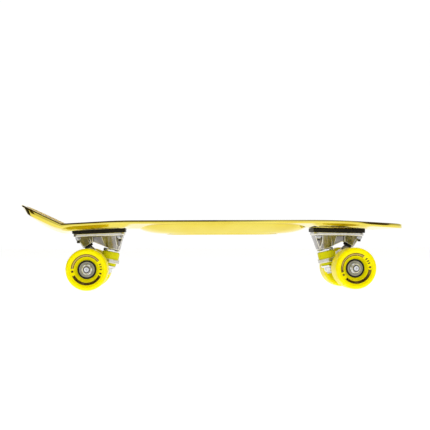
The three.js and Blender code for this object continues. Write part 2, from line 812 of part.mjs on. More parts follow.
function hangerArm() {
  const side = -(yokeRadius + armYokeMargin);
  return slab(
    [
      [0, -hangerMiddleRadius / 2],
      sidePlace(kingpinMatrix, side, -yokeEnd),
      sidePlace(kingpinMatrix, side, -yokeTop / 2 - washerPlate),
      sidePlace(pivotMatrix, noseRootRadius, -noseRootDepth - noseRootRadius / 2),
      sidePlace(pivotMatrix, -noseRootRadius / 2, -noseRootDepth + seatGap),
      [-hangerMiddleRadius, hangerMiddleRadius],
      [-hangerMiddleRadius, 0],
    ],
    armWidth,
  );
}

function pivotNose() {
  const profile = [[0, ballDepth + ballRadius]];
  for (const angle of [67.5, 45, 22.5, 0]) {
    const [cos, sin] = [Math.cos(angle * degrees), Math.sin(angle * degrees)];
    profile.push([ballRadius * cos, ballDepth + ballRadius * sin]);
  }
  profile.push([neckRadius, 0], [neckRadius, -cupCollarHeight]);
  profile.push([noseRootRadius, -noseRootDepth], [noseRootRadius, -noseRootDepth - noseRootRadius]);
  profile.push([0, -noseRootDepth - noseRootRadius]);
  return moved(turned(profile, smallSides), pivotMatrix);
}

// The space kept free in and round the yoke: both bushings, their seats and the kingpin.
function yokeRoom() {
  const boardSeat = boardBushingRadius + yokeSeatClearance;
  const roadSeat = roadBushingRadius + yokeSeatClearance;
  return turned(
    [
      [0, 0], [yokeRadius, 0], [yokeRadius, -yokeTop], [boardSeat, -yokeTop],
      [boardSeat, -yokeFloorTop], [yokeHoleRadius, -yokeFloorTop],
      [yokeHoleRadius, -yokeFloorEnd], [roadSeat, -yokeFloorEnd], [roadSeat, -yokeEnd],
      [yokeRadius, -yokeEnd], [yokeRadius, -kingpinNutEnd], [0, -kingpinNutEnd],
    ],
    roundSides,
  );
}

function hanger() {
  const yoke = moved(rod(yokeRadius, -yokeEnd, -yokeTop, roundSides), kingpinMatrix);
  const room = moved(yokeRoom(), kingpinMatrix);
  const boreEnd = hangerWidth / 2 + cutOverrun;
  const bore = moved(rod(axleRadius + seatGap, -boreEnd, boreEnd, smallSides), acrossMatrix);
  const castings = hangerHousing().add(hangerWing()).add(hangerArm()).add(pivotNose());
  return castings.add(yoke).subtract(room).subtract(bore);
}

// Places across the truck, measured from its middle
const innerBearingStart = hangerWidth / 2 + washerSpace;
const wheelMiddle = innerBearingStart + bearingWidth + bearingSpacing / 2;
const outerBearingEnd = wheelMiddle + bearingSpacing / 2 + bearingWidth;
const axleNutStart = outerBearingEnd + washerSpace;
const axleEnd = axleNutStart + axleNutHeight + axleTail;

function axle() {
  return turned(
    [
      [0, -axleEnd], [axleRadius - axleChamfer, -axleEnd], [axleRadius, axleChamfer - axleEnd],
      [axleRadius, axleEnd - axleChamfer], [axleRadius - axleChamfer, axleEnd], [0, axleEnd],
    ],
    smallSides,
  );
}

const hubHalf = bearingSpacing / 2 + bearingWidth;

function tyre() {
  const [half, tread] = [tyreWidth / 2, treadWidth / 2];
  const bore = coreRadius + seatGap;
  const side = [[bore, hubHalf - tyreBoreMargin], [tyreDishRadius, half - tyreDishDepth]];
  for (let k = 0; k <= lipSteps; k += 1) {
    const angle = (Math.PI / 2) * (1 - k / lipSteps);
    const radius = tyreCrestRadius + (tyreRadius - tyreCrestRadius) * Math.cos(angle);
    side.push([radius, tread + (half - tread) * Math.sin(angle)]);
  }
  const other = side.map(([radius, across]) => [radius, -across]).reverse();
  return ring([...side, ...other], fineSides);
}

function wheelCore() {
  const seat = bearingRadius + seatGap;
  const shoulder = bearingSpacing / 2 - seatGap;
  return ring(
    [
      [coreRadius, -hubHalf], [coreRadius, hubHalf], [seat, hubHalf], [seat, shoulder],
      [coreBore, shoulder], [coreBore, -shoulder], [seat, -shoulder], [seat, -hubHalf],
    ],
    roundSides,
  );
}

// A bearing, its origin on its inner face.
function bearing() {
  const bore = axleRadius + threadGap;
  return ring(
    [[bore, 0], [bearingRadius, 0], [bearingRadius, bearingWidth], [bore, bearingWidth]],
    roundSides,
  );
}

function wheel(name, sideSign) {
  const group = new THREE.Group();
  group.rotation.x = (-sideSign * Math.PI) / 2;
  group.add(piece(name + "_tyre", tyre(), "urethane"));
  group.add(piece(name + "_core", wheelCore(), "blackPlastic"));
  const inner = piece(name + "_inner_bearing", bearing(), "zincSteel");
  inner.position.z = -hubHalf;
  const outer = piece(name + "_outer_bearing", bearing(), "zincSteel");
  outer.position.z = hubHalf - bearingWidth;
  group.add(inner, outer);
  group.position.y = sideSign * wheelMiddle;
  return group;
}

function kingpinStack(end) {
  const group = new THREE.Group();
  group.applyMatrix4(kingpinMatrix);
  group.add(piece(end + "_kingpin", kingpin(), "zincSteel"));
  const upper = piece(
    end + "_upper_cup_washer",
    cupWasher(boardBushingRadius - boardBushingWaist, upperWasherHeight),
    "zincSteel",
  );
  upper.position.z = -upperWasherTop - washerPlate;
  const board = piece(
    end + "_board_side_bushing",
    bushing(boardBushingRadius, boardBushingLength, boardBushingWaist, upperWasherHeight),
    "bushingUrethane",
  );
  board.position.z = -boardBushingTop;
  const road = piece(
    end + "_road_side_bushing",
    bushing(roadBushingRadius, roadBushingLength, roadBushingWaist, lowerWasherHeight),
    "bushingUrethane",
  );
  road.rotation.x = Math.PI;
  road.position.z = -roadBushingEnd;
  const lower = piece(
    end + "_lower_cup_washer",
    cupWasher(roadBushingRadius - roadBushingWaist, lowerWasherHeight),
    "zincSteel",
  );
  lower.rotation.x = Math.PI;
  lower.position.z = -lowerWasherPlate;
  const lock = piece(
    end + "_kingpin_nut",
    nut(kingpinNutAcross, kingpinNutHeight, kingpinRadius + threadGap),
    "zincSteel",
  );
  lock.position.z = -kingpinNutEnd;
  group.add(upper, board, road, lower, lock);
  return group;
}

function truckBolts(end) {
  return boltPlaces().flatMap(([x, y], i) => {
    const bolt = piece(end + "_deck_bolt_" + (i + 1), deckBolt(), "blackSteel");
    bolt.position.set(x, y, boltTop(end, [x, y]) - boltHeadSink);
    const lock = piece(
      end + "_deck_nut_" + (i + 1),
      nut(deckNutAcross, deckNutHeight, boltRadius + threadGap),
      "blackSteel",
    );
    lock.position.set(x, y, truckHeight - flangeThickness - seatGap - deckNutHeight);
    return [bolt, lock];
  });
}

function truck(end) {
  const group = new THREE.Group();
  group.add(piece(end + "_riser_pad", riserPad(), "rubber"));
  group.add(piece(end + "_baseplate", baseplate(), "castAluminium"));
  group.add(piece(end + "_hanger", hanger(), "castAluminium"));
  group.add(kingpinStack(end), ...truckBolts(end));
  const cup = piece(end + "_pivot_cup", pivotCup(), "rubber");
  cup.applyMatrix4(pivotMatrix);
  const shaft = piece(end + "_axle", axle(), "zincSteel");
  shaft.rotation.x = Math.PI / 2;
  group.add(cup, shaft);
  for (const sideSign of [1, -1]) {
    const left = end === "rear" ? sideSign > 0 : sideSign < 0;
    const name = end + (left ? "_left" : "_right");
    group.add(wheel(name + "_wheel", sideSign));
    const lock = piece(
      name + "_axle_nut",
      nut(axleNutAcross, axleNutHeight, axleRadius + threadGap),
      "zincSteel",
    );
    lock.rotation.x = (-sideSign * Math.PI) / 2;
    lock.position.y = sideSign * axleNutStart;
    group.add(lock);
  }
  group.applyMatrix4(truckMatrix(end));
  return group;
}

const skateboard = new THREE.Group();
skateboard.add(piece("deck", deck(), "goldChrome"), truck("front"), truck("rear"));

export default skateboard;
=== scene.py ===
import math

import bpy
import numpy as np
from mathutils import Matrix, Vector


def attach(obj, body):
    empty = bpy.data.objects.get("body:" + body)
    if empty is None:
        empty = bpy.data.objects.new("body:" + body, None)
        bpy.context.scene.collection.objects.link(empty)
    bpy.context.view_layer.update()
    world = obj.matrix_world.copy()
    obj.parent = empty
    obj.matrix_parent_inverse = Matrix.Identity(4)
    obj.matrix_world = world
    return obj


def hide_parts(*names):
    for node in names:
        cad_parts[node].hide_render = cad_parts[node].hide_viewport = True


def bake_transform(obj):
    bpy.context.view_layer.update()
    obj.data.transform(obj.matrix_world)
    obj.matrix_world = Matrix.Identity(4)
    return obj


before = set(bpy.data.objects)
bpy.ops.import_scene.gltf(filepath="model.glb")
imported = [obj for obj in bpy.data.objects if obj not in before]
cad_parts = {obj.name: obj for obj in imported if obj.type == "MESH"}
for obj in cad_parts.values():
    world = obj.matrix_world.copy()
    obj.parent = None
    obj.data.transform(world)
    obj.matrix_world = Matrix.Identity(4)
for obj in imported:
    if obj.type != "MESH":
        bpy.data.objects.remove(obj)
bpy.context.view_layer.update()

mm = 0.001
mergeReach = 1e-6


# camera: measured from the photo, place in metres, angles in degrees
camera = {"place": (-0.0820, -1.4847, 0.0635), "yaw": 3.228, "pitch": 1.696, "roll": -0.215,
          "focalPixels": 1008.3, "imagePixels": 430, "sensor": 36, "nearest": 0.01}


def addCamera():
    yaw, pitch, roll = (math.radians(camera[key]) for key in ("yaw", "pitch", "roll"))
    ahead = Vector((math.sin(yaw) * math.cos(pitch), math.cos(yaw) * math.cos(pitch), math.sin(pitch)))
    level = Vector((math.cos(yaw), -math.sin(yaw), 0))
    above = level.cross(ahead)
    right = level * math.cos(roll) + above * math.sin(roll)
    up = above * math.cos(roll) - level * math.sin(roll)
    lens = bpy.data.cameras.new("camera")
    lens.sensor_width = camera["sensor"]
    lens.lens = camera["focalPixels"] / camera["imagePixels"] * camera["sensor"]
    lens.clip_start = camera["nearest"]
    eye = bpy.data.objects.new("camera", lens)
    turn = Matrix((right, up, -ahead)).transposed().to_4x4()
    eye.matrix_world = Matrix.Translation(camera["place"]) @ turn
    bpy.context.collection.objects.link(eye)
    bpy.context.scene.camera = eye


addCamera()
print("camera placed")


# node helpers for the materials
def newMaterial(name, color, roughness, metallic=0.0):
    material = bpy.data.materials.new(name)
    material.use_nodes = True
    shader = material.node_tree.nodes["Principled BSDF"]
    shader.inputs["Base Color"].default_value = (*color, 1)
    shader.inputs["Roughness"].default_value = roughness
    shader.inputs["Metallic"].default_value = metallic
    return material, material.node_tree, shader


def addNode(tree, kind, values=None, **settings):
    node = tree.nodes.new("ShaderNode" + kind)
    for key, value in settings.items():
        setattr(node, key, value)
    for key, value in (values or {}).items():
        if isinstance(value, bpy.types.NodeSocket):
            tree.links.new(value, node.inputs[key])
        else:
            node.inputs[key].default_value = value
    return node


def calc(tree, operation, first, second=0.0, third=0.0):
    return addNode(tree, "Math", {0: first, 1: second, 2: third}, operation=operation).outputs[0]


def objectPlace(tree):
    return addNode(tree, "TexCoord").outputs["Object"]


def noise(tree, scale, detail=3.0, roughness=0.5, place=None):
    place = place or objectPlace(tree)
    values = {"Vector": place, "Scale": scale, "Detail": detail, "Roughness": roughness}
    return addNode(tree, "TexNoise", values).outputs["Fac"]


def spread(tree, value, low, high, newLow, newHigh, smooth=False):
    values = {"Value": value, "From Min": low, "From Max": high, "To Min": newLow, "To Max": newHigh}
    kind = "SMOOTHSTEP" if smooth else "LINEAR"
    return addNode(tree, "MapRange", values, interpolation_type=kind).outputs["Result"]


def blendColors(tree, share, first, second):
    node = tree.nodes.new("ShaderNodeMix")
    node.data_type = "RGBA"
    tree.links.new(share, node.inputs[0])
    for index, color in ((6, first), (7, second)):
        if isinstance(color, bpy.types.NodeSocket):
            tree.links.new(color, node.inputs[index])
        else:
            node.inputs[index].default_value = (*color, 1)
    return node.outputs[2]


def addBump(tree, shader, height, distance, strength=1.0):
    values = {"Height": height, "Distance": distance, "Strength": strength}
    bump = addNode(tree, "Bump", values)
    tree.links.new(bump.outputs["Normal"], shader.inputs["Normal"])


# finishes
gold = {"color": (0.83, 0.71, 0.13), "deep": (0.80, 0.65, 0.085), "gloss": (0.035, 0.085),
        "tread": (0.95, 0.70, 0.16), "treadDeep": (0.84, 0.60, 0.11), "treadGloss": (0.28, 0.4),
        "treadMetal": 0.45, "cloudScale": 18, "glossScale": 55, "rippleScale": 90, "ripple": 0.03 * mm}


def goldFinish(name, light, deep, low, high, metallic=1.0):
    material, tree, shader = newMaterial(name, light, low, metallic)
    cloudy = spread(tree, noise(tree, gold["cloudScale"], 2), 0.35, 0.65, 0, 1)
    tint = blendColors(tree, cloudy, light, deep)
    tree.links.new(tint, shader.inputs["Base Color"])
    gloss = spread(tree, noise(tree, gold["glossScale"], 4), 0.3, 0.7, low, high)
    tree.links.new(gloss, shader.inputs["Roughness"])
    addBump(tree, shader, noise(tree, gold["rippleScale"], 2), gold["ripple"])
    return material


# inner is a greener yellow, painted as shade inside the wheel's dish
urethane = {"face": (1.0, 0.86, 0.0), "inner": (0.86, 0.77, 0.0), "tread": (1.0, 0.86, 0.05),
            "line": (0.13, 0.08, 0.015), "foil": (0.50, 0.37, 0.10), "ring": (17.9 * mm, 21.8 * mm),
            "printedFrom": 10 * mm, "recessShadeEdge": (16.8 * mm, 17.8 * mm), "treadEdge": (28.4 * mm, 29.4 * mm),
            "gloss": (0.3, 0.42), "shine": 0.08, "scatter": 0.35, "scatterReach": 4 * mm,
            "scatterColor": (1.0, 0.8, 0.1), "cloudScale": 70, "cloudShare": 0.12, "glossScale": 240,
            "grainScale": 900, "grain": 0.05 * mm}
# printed ring: start and end angle in degrees, then inner and outer share of its width
printedLines = [(36, 176, 0.0, 0.26), (36, 176, 0.74, 1.0), (19, 24, 0.1, 0.9), (9, 14, 0.1, 0.9),
                (-1, 4, 0.1, 0.9), (-156, -24, 0.74, 1.0), (-156, -24, 0.0, 0.26),
                (183, 191, 0.1, 0.9), (-19, -12, 0.1, 0.9)]
printedFoil = [(36, 176, 0.26, 0.74), (-154, -26, 0.26, 0.74)]


def printMask(tree, arcs, angle, radius, turn):
    low, high = urethane["ring"]
    mask = None
    for start, end, inner, outer in arcs:
        away = calc(tree, "PINGPONG", calc(tree, "SUBTRACT", angle, (start + end) / 2 + turn), 180.0)
        along = calc(tree, "LESS_THAN", away, (end - start) / 2)
        rise = calc(tree, "GREATER_THAN", radius, low + (high - low) * inner)
        fall = calc(tree, "LESS_THAN", radius, low + (high - low) * outer)
        bar = calc(tree, "MULTIPLY", along, calc(tree, "MULTIPLY", rise, fall))
        mask = bar if mask is None else calc(tree, "MAXIMUM", mask, bar)
    return mask


def tyreFinish(name, centre, side, turn):
    material, tree, shader = newMaterial(name, urethane["face"], 0.34)
    shift = addNode(tree, "Mapping", {"Vector": objectPlace(tree), "Location": [-v for v in centre]})
    axes = addNode(tree, "SeparateXYZ", {0: shift.outputs[0]}).outputs
    radius = calc(tree, "SQRT", calc(tree, "ADD", calc(tree, "MULTIPLY", axes[0], axes[0]),
                                     calc(tree, "MULTIPLY", axes[2], axes[2])))
    across = calc(tree, "MULTIPLY", axes[1], float(side))
    outside = calc(tree, "GREATER_THAN", across, urethane["printedFrom"])
    angle = calc(tree, "MULTIPLY", calc(tree, "ARCTAN2", axes[2], axes[0]), 180 / math.pi)
    lines = calc(tree, "MULTIPLY", printMask(tree, printedLines, angle, radius, turn), outside)
    foil = calc(tree, "MULTIPLY", printMask(tree, printedFoil, angle, radius, turn), outside)
    # painted shade: inside the printed ring the dish is darkened towards a greener yellow
    recessShadeShare = spread(tree, radius, *urethane["recessShadeEdge"], 1, 0, True)
    treadShare = spread(tree, radius, *urethane["treadEdge"], 0, 1, True)
    color = blendColors(tree, recessShadeShare, urethane["face"], urethane["inner"])
    color = blendColors(tree, treadShare, color, urethane["tread"])
    cloudy = spread(tree, noise(tree, urethane["cloudScale"], 3), 0.3, 0.7, 0, urethane["cloudShare"])
    color = blendColors(tree, cloudy, color, urethane["inner"])
    color = blendColors(tree, foil, blendColors(tree, lines, color, urethane["line"]), urethane["foil"])
    tree.links.new(color, shader.inputs["Base Color"])
    tree.links.new(foil, shader.inputs["Metallic"])
    dull = spread(tree, noise(tree, urethane["glossScale"], 4), 0.3, 0.7, *urethane["gloss"])
    gloss = calc(tree, "SUBTRACT", dull, calc(tree, "MULTIPLY", foil, 0.1))
    tree.links.new(gloss, shader.inputs["Roughness"])
    shader.inputs["Specular IOR Level"].default_value = urethane["shine"]
    shader.inputs["Subsurface Weight"].default_value = urethane["scatter"]
    shader.inputs["Subsurface Radius"].default_value = urethane["scatterColor"]
    shader.inputs["Subsurface Scale"].default_value = urethane["scatterReach"]
    addBump(tree, shader, noise(tree, urethane["grainScale"], 3), urethane["grain"], 0.5)
    return material


# skin and stain make the darker copy of the cast finish, partly the dull cast grey and partly painted shade;
# bright and dull make the lighter copy, a painted highlight
aluminium = {"skin": (0.36, 0.345, 0.335), "stain": (0.25, 0.238, 0.232), "edgeHighlight": (0.93, 0.90, 0.78),
             "bright": (0.625, 0.62, 0.605), "dull": (0.55, 0.545, 0.53), "rough": (0.26, 0.36),
             "stainScale": 120, "glossScale": 200, "grainScale": 700, "grain": 0.03 * mm}


def castFinish(name, skin, stained):
    material, tree, shader = newMaterial(name, skin, 0.3, 1.0)
    stain = spread(tree, noise(tree, aluminium["stainScale"], 4, 0.6), 0.36, 0.64, 0, 1)
    # painted highlight: points that stand proud are blended towards a pale warm colour
    edgeHighlight = addNode(tree, "Attribute", attribute_name="edgeHighlight").outputs["Fac"]
    color = blendColors(tree, edgeHighlight, blendColors(tree, stain, skin, stained), aluminium["edgeHighlight"])
    tree.links.new(color, shader.inputs["Base Color"])
    gloss = spread(tree, noise(tree, aluminium["glossScale"], 3), 0.3, 0.7, *aluminium["rough"])
    tree.links.new(gloss, shader.inputs["Roughness"])
    addBump(tree, shader, noise(tree, aluminium["grainScale"], 3, 0.6), aluminium["grain"], 0.35)
    return material


def grainFinish(name, color, other, rough, grainScale, grainDepth, metallic, shine):
    material, tree, shader = newMaterial(name, color, rough, metallic)
    shader.inputs["Specular IOR Level"].default_value = shine
    share = spread(tree, noise(tree, grainScale * 0.4, 4), 0.35, 0.65, 0, 1)
    tree.links.new(blendColors(tree, share, color, other), shader.inputs["Base Color"])
    gloss = spread(tree, noise(tree, grainScale * 0.7, 4), 0.3, 0.7, rough * 0.8, rough * 1.25)
    tree.links.new(gloss, shader.inputs["Roughness"])
    addBump(tree, shader, noise(tree, grainScale, 4), grainDepth * mm, 0.6)
    return material


# colours, roughness, then the grain's scale and its depth in millimetres, metal share, shine
grains = {
    "steel": ("bright zinc", (0.78, 0.79, 0.80), (0.62, 0.63, 0.66), 0.2, 700, 0.02, 1.0, 0.5),
    "washerSteel": ("polished washer", (0.86, 0.87, 0.88), (0.74, 0.75, 0.77), 0.12, 500, 0.01, 1.0, 0.5),
    "shield": ("bearing shield", (0.42, 0.41, 0.33), (0.32, 0.31, 0.25), 0.34, 800, 0.02, 1.0, 0.5),
    "blackSteel": ("black oxide", (0.035, 0.033, 0.03), (0.06, 0.055, 0.05), 0.36, 900, 0.03, 0.6, 0.5),
    "rubber": ("black rubber", (0.010, 0.009, 0.006), (0.016, 0.014, 0.011), 0.5, 1100, 0.08, 0.0, 0.12),
    "corePlastic": ("black core plastic", (0.008, 0.008, 0.007), (0.014, 0.014, 0.012), 0.32, 900, 0.03,
                    0.0, 0.25),
    "bushing": ("bushing urethane", (0.73, 0.72, 0.0), (0.65, 0.645, 0.0), 0.38, 500, 0.04, 0.0, 0.12),
    "nylon": ("nylon ring", (0.05, 0.05, 0.055), (0.07, 0.07, 0.075), 0.45, 700, 0.02, 0.0, 0.5),
}
finishes = {
    "gold": goldFinish("gold chrome", gold["color"], gold["deep"], *gold["gloss"]),
    "goldTread": goldFinish("gold tread", gold["tread"], gold["treadDeep"], *gold["treadGloss"],
                            gold["treadMetal"]),
    "cast": castFinish("cast aluminium", aluminium["skin"], aluminium["stain"]),
    "litCast": castFinish("tumbled aluminium", aluminium["bright"], aluminium["dull"]),
}
finishes.update({key: grainFinish(*values) for key, values in grains.items()})
print("finishes made")


# modelling helpers: profiles and rings are in millimetres
def clearSelection():
    if bpy.context.object and bpy.context.object.mode != "OBJECT":
        bpy.ops.object.mode_set(mode="OBJECT")
    bpy.ops.object.select_all(action="DESELECT")


def pickOnly(piece):
    clearSelection()
    piece.select_set(True)
    bpy.context.view_layer.objects.active = piece


def closeUp():
    bpy.ops.mesh.select_all(action="SELECT")
    bpy.ops.mesh.remove_doubles(threshold=mergeReach)
    bpy.ops.mesh.select_all(action="SELECT")
    bpy.ops.mesh.normals_make_consistent(inside=False)
    bpy.ops.object.mode_set(mode="OBJECT")


def smoothShade(piece, angle=35):
    pickOnly(piece)
    bpy.ops.object.shade_smooth_by_angle(angle=math.radians(angle))


def nameIt(piece, name):
    piece.name = name
    piece.data.name = name
    return piece


# a turned part: the outline is drawn point by point from one vertex, then spun round Z
def turnedPiece(name, outline, sides=64, closed=True):
    clearSelection()
    bpy.ops.mesh.primitive_plane_add(size=mm)
    piece = nameIt(bpy.context.object, name)
    bpy.ops.object.mode_set(mode="EDIT")
    bpy.ops.mesh.select_all(action="SELECT")
    bpy.ops.mesh.merge(type="CENTER")
    points = [Vector((radius * mm, 0, height * mm)) for radius, height in outline]
    bpy.ops.transform.translate(value=points[0])
    for before, after in zip(points, points[1:] + points[:1] * closed):
        bpy.ops.mesh.extrude_region_move(TRANSFORM_OT_translate={"value": after - before})
    bpy.ops.mesh.select_all(action="SELECT")
    bpy.ops.mesh.remove_doubles(threshold=mergeReach)
    bpy.ops.mesh.select_all(action="SELECT")
    bpy.ops.mesh.spin(steps=sides, dupli=False, angle=2 * math.pi, center=(0, 0, 0), axis=(0, 0, 1))
    closeUp()
    smoothShade(piece)
    return piece


# a skin through rings of points: a circle is extruded once for each further ring
def ringedPiece(name, rings, looped=False, angle=35):
    rings = np.asarray(rings) * mm
    count = rings.shape[1]
    if looped:
        rings = np.concatenate([rings, rings[:1]])
    clearSelection()
    bpy.ops.mesh.primitive_circle_add(vertices=count, radius=0.1)
    piece = nameIt(bpy.context.object, name)
    bpy.ops.object.mode_set(mode="EDIT")
    bpy.ops.mesh.select_all(action="SELECT")
    for _ in rings[1:]:
        bpy.ops.mesh.extrude_region_move(TRANSFORM_OT_translate={"value": (0, 0, 0.01)})
    bpy.ops.object.mode_set(mode="OBJECT")
    piece.data.vertices.foreach_set("co", rings.reshape(-1))
    bpy.ops.object.mode_set(mode="EDIT")
    closeUp()
    smoothShade(piece, angle)
    return piece


def placedCopy(model, name, place):
    piece = bpy.data.objects.new(name, model.data.copy())
    piece.data.name = name
    piece.data.transform(place)
    bpy.context.collection.objects.link(piece)
    return piece


def dropModel(*models):
    for model in models:
        bpy.data.objects.remove(model)


def applyModifier(piece, kind, **settings):
    pickOnly(piece)
    modifier = piece.modifiers.new(kind.lower(), kind)
    for key, value in settings.items():
        setattr(modifier, key, value)
    bpy.ops.object.modifier_apply(modifier=modifier.name)


def finishPiece(piece, body, slot, finish, *nodes):
    piece.data.materials.clear()
    piece.data.materials.append(finishes[finish] if isinstance(finish, str) else finish)
    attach(piece, body)
    if nodes:
        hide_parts(*nodes)


# frames, in metres: a truck's X runs from its axle to the middle of the board
trucks = {"front": {"axle": 197.1, "turn": 180, "tilt": -1.4},
          "rear": {"axle": -181.7, "turn": 0, "tilt": -2.1}}
truckPlan = {"axleHeight": 29.5, "seatHeight": 57.4, "baseplateTop": 51, "baseplateInset": 16.1,
             "flange": 4.5, "kingpin": (33.2, 27.7, 14), "pivot": (-1.3, 34.4, -29),
             "boltReach": (30, 20.65), "clearance": 0.3}


def move(x, y, z):
    return Matrix.Translation((x * mm, y * mm, z * mm))


def turnAbout(axis, angle):
    return Matrix.Rotation(math.radians(angle), 4, axis)


def truckFrame(end):
    plan = trucks[end]
    start = move(plan["axle"], 0, truckPlan["axleHeight"])
    return start @ turnAbout("Z", plan["turn"]) @ turnAbout("Y", plan["tilt"])


def sideFrame(end, key):
    inset, height, tilt = truckPlan[key]
    return truckFrame(end) @ move(inset, 0, height) @ turnAbout("Y", tilt)


# deck: modelled flat, with depths below its top, then bent to the top's line
deck = {"halfLength": 279.6, "halfWidth": 76.2, "tailTaper": 6.6, "tailPowers": (24, 2),
        "nosePowers": (3, 2), "crown": 98.205, "kick": (217.1, 25.6, 2.5), "rearSlope": (138.1, 3.1, 20),
        "noseDrop": (165.6, 2.6, 30), "edge": 4.8, "tailEdge": (80, 9.8), "noseEdge": (75, 6.3),
        "tailLean": (258, 277, 8.5), "rounding": 2.6, "crispEdge": 1.1, "lowRounding": 1.0,
        "crispParts": ((40, 90, 195, 222), (245, 257, 400, 401)), "drop": 6, "noseDepth": (5, 97.3, 141.3),
        "run": 44, "bulgeRun": 15, "bulges": ((181, 40.2, 8), (-169.7, 44.4, 8), (-384, 170, 8)),
        "tailBulge": 0.15, "spineInset": 45, "stations": 300, "turnWeight": 60, "centre": 1e4,
        "bedInsets": (60, 45, 30, 20, 12), "rimInsets": (5.5, 3.4),
        "upperAngles": (90, 78, 66, 54, 42, 30, 20, 10, 0), "lowerAngles": (0, 25, 50, 75, 90),
        "underInsets": (1.3, 1.8, 2.5, 3.4, 4.5, 5.8, 7.4, 9.2, 11, 13, 15, 18, 22, 27, 33, 38, 44, 60)}
waffle = {"border": 8, "pitch": 6.8, "cells": (84, 24), "ridge": 0.6, "slope": 0.35, "depth": 0.65,
          "bed": 1.3, "base": 2, "gap": 0.2, "slabReach": 5, "wallSteps": ((0.3, 1.3), (0.1, 0.1), (0, 0))}
seat = {"length": 76.5, "width": 56, "corner": 6, "margin": 1.5, "wall": 1.5, "backing": 4, "draft": 1.6,
        "roomHeight": 8}
hull = {"tail": -113.9, "nose": 137.1, "edgeInset": 5.5, "depth": 19.5, "wallRun": 26, "endRun": 44,
        "power": 3.6, "wallPower": 1.25, "lip": 0.8, "rim": 6, "panelDepth": 10.5, "draft": 3,
        "points": 280}
bolt = {"headRadius": 4.6, "headHeight": 2.4, "radius": 2.4, "length": 28, "sink": 0.4, "play": 0.3,
        "threadEnd": 8, "pitch": 0.9, "threadDepth": 0.25, "cross": (4.6, 0.9, 3.2),
        "nut": (8, 4.5), "nutCollar": 1.2, "cutterReach": (20, 4)}


def bendRise(past, slope, blend):
    curve = slope * (past + blend) ** 2 / (4 * blend)
    return np.where(past <= -blend, 0, np.where(past >= blend, slope * past, curve))


def deckTop(x):
    x = np.asarray(x, dtype=float)
    tans = {key: math.tan(math.radians(deck[key][1])) for key in ("kick", "rearSlope", "noseDrop")}
    rear = bendRise(-x - deck["rearSlope"][0], tans["rearSlope"], deck["rearSlope"][2])
    kick = bendRise(-x - deck["kick"][0], tans["kick"] + tans["rearSlope"], deck["kick"][2])
    nose = bendRise(x - deck["noseDrop"][0], tans["noseDrop"], deck["noseDrop"][2])
    return deck["crown"] - rear + kick - nose


def smoothStep(value, low, high):
    share = np.clip((value - low) / (high - low), 0, 1)
    return share * share * (3 - 2 * share)


def edgeDepth(x):
    depth, end = deck["edge"], deck["halfLength"] - deck["spineInset"]
    for side, (length, thick) in ((-1, deck["tailEdge"]), (1, deck["noseEdge"])):
        depth = depth + (thick - deck["edge"]) * smoothStep(x * side, deck["halfLength"] - length, end)
    return depth


# the tail's end leans inwards towards its lower edge
def tailLean(x):
    rise, full, lean = deck["tailLean"]
    return lean * smoothStep(-x, rise, full)


# the upper edge is crisper over the front truck and round the nose
def upperRounding(x):
    share = 0
    for rise, full, fall, end in deck["crispParts"]:
        share = share + smoothStep(x, rise, full) * (1 - smoothStep(x, fall, end))
    return deck["rounding"] + (deck["crispEdge"] - deck["rounding"]) * share


def deckOutline():
    x = -deck["halfLength"] * np.cos(np.linspace(0, math.pi, 8001))
    reach = np.abs(x) / deck["halfLength"]
    tail, nose = deck["tailPowers"], deck["nosePowers"]
    tailShare = np.maximum(0, 1 - reach ** tail[0]) ** (1 / tail[1])
    noseShare = np.maximum(0, 1 - reach ** nose[0]) ** (1 / nose[1])
    tailSide = (deck["halfWidth"] - deck["tailTaper"] * reach) * tailShare
    y = np.where(x < 0, tailSide, deck["halfWidth"] * noseShare)
    points = np.stack([x, y, deckTop(x)], axis=1)
    steps = np.diff(points, axis=0)
    lengths = np.linalg.norm(steps, axis=1)
    heads = steps / lengths[:, None]
    turns = np.arccos(np.clip((heads[1:] * heads[:-1]).sum(axis=1), -1, 1))
    weights = deck["turnWeight"] * np.concatenate([[0], turns])
    costs = np.concatenate([[0], np.cumsum(lengths + weights)])
    wanted = np.linspace(0, costs[-1], deck["stations"])
    return np.stack([np.interp(wanted, costs, points[:, k]) for k in (0, 1)], axis=1)


outline = deckOutline()


def deckRing(inset, depth):
    x, y = outline.T
    reach = deck["halfLength"] - deck["spineInset"]
    spine = np.clip(x, -reach, reach)
    length = np.hypot(x - spine, y)
    share = np.minimum(inset, length) / np.maximum(length, 1e-9)
    side = np.stack([x + (spine - x) * share, y * (1 - share), -depth + 0 * x], axis=1)
    return np.concatenate([side, side[-2:0:-1] * (1, -1, 1)])


def bendToTop(piece):
    places = np.empty(len(piece.data.vertices) * 3)
    piece.data.vertices.foreach_get("co", places)
    places = places.reshape(-1, 3)
    places[:, 2] += deckTop(places[:, 0] / mm) * mm
    piece.data.vertices.foreach_set("co", places.reshape(-1))
    piece.data.update()


# the underside is shallow near the edge, but full over the trucks and part of the tail
def underDrop(inset, x):
    start = deck["lowRounding"]
    shallow = np.clip((inset - start) / (deck["run"] - start), 0, 1)
    full = 1 - (1 - np.clip((inset - start) / (deck["bulgeRun"] - start), 0, 1)) ** 2
    shares = []
    for middle, half, soft in deck["bulges"]:
        shares.append(1 - smoothStep(abs(x - middle), half - soft, half + soft))
    share = np.maximum(np.maximum(shares[0], shares[1]), deck["tailBulge"] * shares[2])
    noseDepth, start, end = deck["noseDepth"]
    depth = deck["drop"] + (noseDepth - deck["drop"]) * smoothStep(x, start, end)
    depth = depth - np.where(x > 0, edgeDepth(x) - deck["edge"], 0)
    return depth * (shallow + (full - shallow) * share)


def boltPlaces():
    along, across = truckPlan["boltReach"]
    return [(truckPlan["baseplateInset"] + a * along, b * across) for a in (1, -1) for b in (1, -1)]


def boltTop(end, x, y):
    height = truckPlan["seatHeight"]
    for _ in range(5):
        place = truckFrame(end) @ Vector((x * mm, y * mm, height * mm)) / mm
        height += float(deckTop(place.x)) - place.z
    return height


